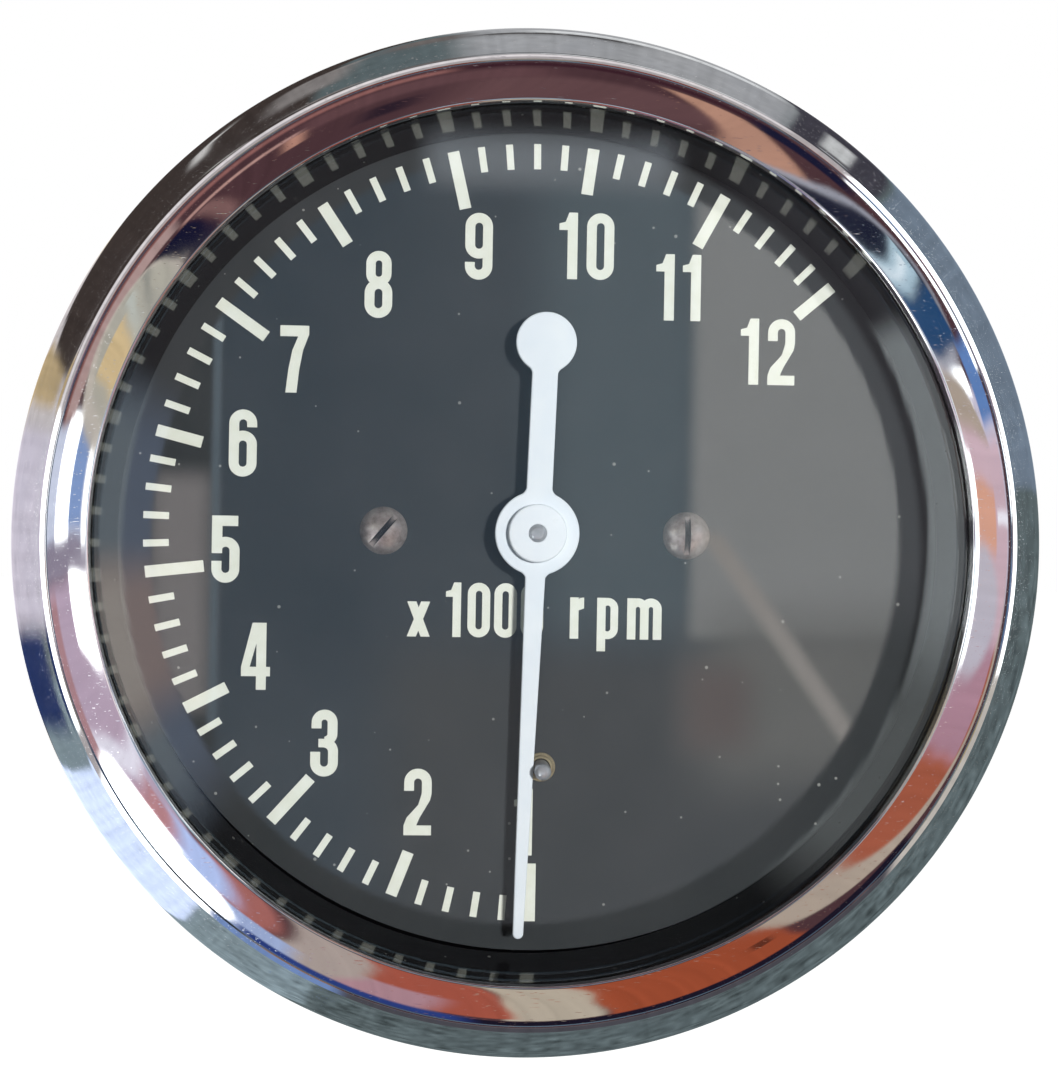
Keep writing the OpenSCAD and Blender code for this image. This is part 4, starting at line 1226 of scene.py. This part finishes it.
@dataclass
class Studio:
    """Camera, lamp, world, floor and the cards round the camera.

    The image is in pixels, the eye in millimetres, the other lengths in metres and angles in
    degrees. A level is what a white card shows.
    """

    image: tuple[int, int] = (1058, 1080)
    focal: float = 1745.4
    eye: tuple[float, float, float] = (-8.91, -196.0, 0.24)
    turn: tuple[float, float, float] = (0.32, 3.20, -0.97)
    world_level: float = 0.26
    lamp_level: float = 0.96
    lamp_away: float = 0.6
    lamp_size: float = 0.06
    lamp_aside: float = 20.0
    lamp_above: float = 5.5
    dial_y: float = -0.046
    floor_side: float = 3.0
    floor_z: float = -0.1
    floor_lift: float = 0.8
    dome_r: float = 2.0
    dome_columns: int = 720
    bare_wall: float = 0.3
    mirror: float = 0.56

    def camera(self) -> None:
        """Puts the camera where the photograph was taken, square to the dial within a few degrees."""
        data = bpy.data.cameras.new("photograph_view")
        data.sensor_width = 36.0
        data.lens = self.focal / max(self.image) * data.sensor_width
        data.clip_start = 0.01
        data.clip_end = 20.0
        turns = [Matrix.Rotation(math.radians(a), 3, axis) for a, axis in zip(self.turn, "XYZ")]
        from_dial = turns[2] @ turns[1] @ turns[0]
        to_row = Matrix(((1, 0, 0), (0, 0, -1), (0, 1, 0)))
        camera = placed("photograph_view", data)
        place = Matrix.Translation(Vector(self.eye) * MM)
        camera.matrix_world = place @ (to_row @ from_dial.transposed()).to_4x4()
        bpy.context.scene.camera = camera

    def lamp(self) -> None:
        """Hangs one soft lamp to the right of the camera and a little above it.

        A lamp of power P at the distance d lights a white card that faces it to P / (pi d)^2.
        """
        aside, above = math.radians(self.lamp_aside), math.radians(self.lamp_above)
        towards = Vector((math.sin(aside), -math.cos(aside) * math.cos(above), math.sin(above))).normalized()
        data = bpy.data.lights.new("soft_key", "AREA")
        data.shape = "DISK"
        data.size = self.lamp_size
        data.energy = self.lamp_level * (math.pi * self.lamp_away) ** 2 / -towards.y
        lamp = placed("soft_key", data)
        lamp.location = Vector((0, self.dial_y, 0)) + towards * self.lamp_away
        lamp.rotation_euler = towards.to_track_quat("Z", "Y").to_euler()
        lamp.visible_glossy = False
        lamp.visible_transmission = False
        lamp.visible_camera = False

    def world(self) -> None:
        """Makes a plain white world, white to the camera, to metal and through glass."""
        world = bpy.data.worlds.new("white_room")
        bpy.context.scene.world = world
        world.use_nodes = True
        world.cycles.sampling_method = "NONE"
        tree = world.node_tree
        tree.nodes.clear()
        steps = {"Value": self.seen(tree), "To Min": self.world_level, "To Max": 1.0}
        level = add(tree, "MapRange", inputs=steps).outputs[0]
        back = add(tree, "Background", inputs={"Color": (1, 1, 1, 1), "Strength": level})
        add(tree, "OutputWorld", inputs={"Surface": back.outputs[0]})

    def seen(self, tree: Tree) -> Socket:
        """Returns 1 for rays by which the background is seen, and 0 for those that carry light.

        Args:
            tree: The nodes of a material or the world.

        Returns:
            The sum of Is Camera, Is Glossy and Is Transmission Ray, before any diffuse bounce.
        """
        path = add(tree, "LightPath").outputs
        first = add(tree, "Math", {"operation": "ADD"}, {0: path["Is Camera Ray"], 1: path["Is Glossy Ray"]})
        pair = {0: first.outputs[0], 1: path["Is Transmission Ray"]}
        either = add(tree, "Math", {"operation": "ADD", "use_clamp": True}, pair)
        early = add(tree, "Math", {"operation": "LESS_THAN"}, {0: path["Diffuse Depth"], 1: 0.5})
        pair = {0: either.outputs[0], 1: early.outputs[0]}
        return add(tree, "Math", {"operation": "MULTIPLY"}, pair).outputs[0]

    def floor(self) -> None:
        """Lays a pale floor well under the instrument, which keeps its soft shadow."""
        side, level = self.floor_side, self.floor_z
        corners = [[-side, -side, level], [side, -side, level], [side, side, level], [-side, side, level]]
        mesh = bpy.data.meshes.new("pale_floor")
        mesh.from_pydata(corners, [], [[0, 1, 2, 3]])
        floor = placed("pale_floor", mesh)
        material, tree = blank("pale_paper")
        paper = add(tree, "BsdfDiffuse", inputs={"Color": linear("f4f4f3")})
        pair = {0: self.seen(tree), 1: self.floor_lift}
        lift = add(tree, "Math", {"operation": "MULTIPLY"}, pair).outputs[0]
        glow = add(tree, "Emission", inputs={"Color": (1, 1, 1, 1), "Strength": lift})
        both = add(tree, "AddShader", inputs={0: paper.outputs[0], 1: glow.outputs[0]})
        add(tree, "OutputMaterial", inputs={"Surface": both.outputs[0]})
        mesh.materials.append(material)
        floor.visible_glossy = False
        floor.visible_transmission = False

    def pattern(self, around: np.ndarray, away: np.ndarray) -> np.ndarray:
        """Lays the cards over each other on a plain wall and roughens them.

        The chrome's cards wander by up to 0.75 degrees in a slow wave, as in hand-polished plate. What
        the skirt mirrors has a woven grain of 0.1, which is 0.5 within 50 degrees of 150, and all
        chrome has streaks of 0.05.

        Args:
            around: Angle round the axis of each point of the dome.
            away: Its angle from the axis.

        Returns:
            The linear colour at each point.
        """
        u, v = np.radians(around), np.radians(away)
        wave = np.sin(v * 5 + 1.3 * np.sin(u * 3)) + 0.5 * np.sin(v * 11 + u * 5)
        weave = np.random.default_rng(7).normal(size=around.shape)
        weave = sum(np.roll(weave, shift, axis=1) for shift in (-1, 0, 1)) / 3
        streaks = np.random.default_rng(11).normal(size=(1, self.dome_columns))
        colour = np.ones(around.shape + (3,)) * self.bare_wall
        for card in CARDS:
            bent = around if card.outline in (Outline.SHEET, Outline.BAND) else around + 0.5 * wave
            cover = card.cover(bent, away)[..., None]
            colour = colour * (1 - cover) + np.array(linear(card.colour)[:3]) * card.level * cover
        skirt = away > LEVEL_CHROME + SKIRT[0] + further(around)
        cloth = 0.1 + 0.4 * np.clip((70 - np.abs(around - 150)) / 20, 0, 1)
        rough = cloth * weave * skirt + 0.05 * streaks * (away > GLASS_REACH + 3)
        return colour * np.clip(1 + rough, 0.3, 1.9)[..., None]

    def cards(self) -> None:
        """Stands the cards on a dome round the camera, which only metal and glass see.

        A point of the dome at the angles (u round, v away) is (sin v sin u, -cos v, sin v cos u). Its
        rows are finest where the flat glass looks, whose bands have crisp edges.
        """
        columns = self.dome_columns
        levels = np.concatenate([np.arange(0, 20, 0.125), np.arange(20, 106, 0.5), np.arange(106, 180, 1.5)])
        away, around = np.meshgrid(levels, np.arange(columns) * 360 / columns, indexing="ij")
        u, v = np.radians(around), np.radians(away)
        points = self.dome_r * np.stack([np.sin(v) * np.sin(u), -np.cos(v), np.sin(v) * np.cos(u)], axis=-1)
        i, j = np.meshgrid(np.arange(len(levels) - 1), np.arange(columns), indexing="ij")
        after = (j + 1) % columns
        corners = [i * columns + j, i * columns + after, (i + 1) * columns + after, (i + 1) * columns + j]
        mesh = bpy.data.meshes.new("studio_cards")
        faces = np.stack(corners, axis=-1).reshape(-1, 4)
        mesh.from_pydata(points.reshape(-1, 3).tolist(), [], faces.tolist())
        colour = self.pattern(around, away) / self.mirror
        seen = np.concatenate([colour, np.ones(around.shape + (1,))], axis=-1)
        paint = mesh.color_attributes.new("card", "FLOAT_COLOR", "POINT")
        paint.data.foreach_set("color", seen.ravel().astype(np.float32))
        dome = placed("studio_cards", mesh)
        material, tree = blank("card_light")
        card = add(tree, "Attribute", {"attribute_name": "card"}).outputs["Color"]
        glow = add(tree, "Emission", inputs={"Color": card, "Strength": 1.0})
        clear = add(tree, "BsdfTransparent")
        mixed = add(tree, "MixShader", inputs={0: self.seen(tree), 1: clear.outputs[0], 2: glow.outputs[0]})
        add(tree, "OutputMaterial", inputs={"Surface": mixed.outputs[0]})
        material.cycles.emission_sampling = "NONE"
        mesh.materials.append(material)
        dome.visible_camera = False
        dome.visible_shadow = False
        dome.visible_diffuse = False

    def build(self) -> None:
        """Sets up the studio."""
        bpy.context.scene.view_settings.view_transform = "Standard"
        self.camera()
        self.lamp()
        self.world()
        self.floor()
        self.cards()


def main() -> None:
    """Builds the instrument round the frame and the studio round the instrument."""
    logging.basicConfig(level=logging.INFO, format="%(name)s: %(message)s")
    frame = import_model()
    shop = Workshop(frame)
    for group in (Studio(), Housing(shop), Dial(shop), Pointer(shop), Rear(shop), Movement(shop)):
        group.build()
        LOG.info("%s done", type(group).__name__)


if __name__ == "__main__":
    main()
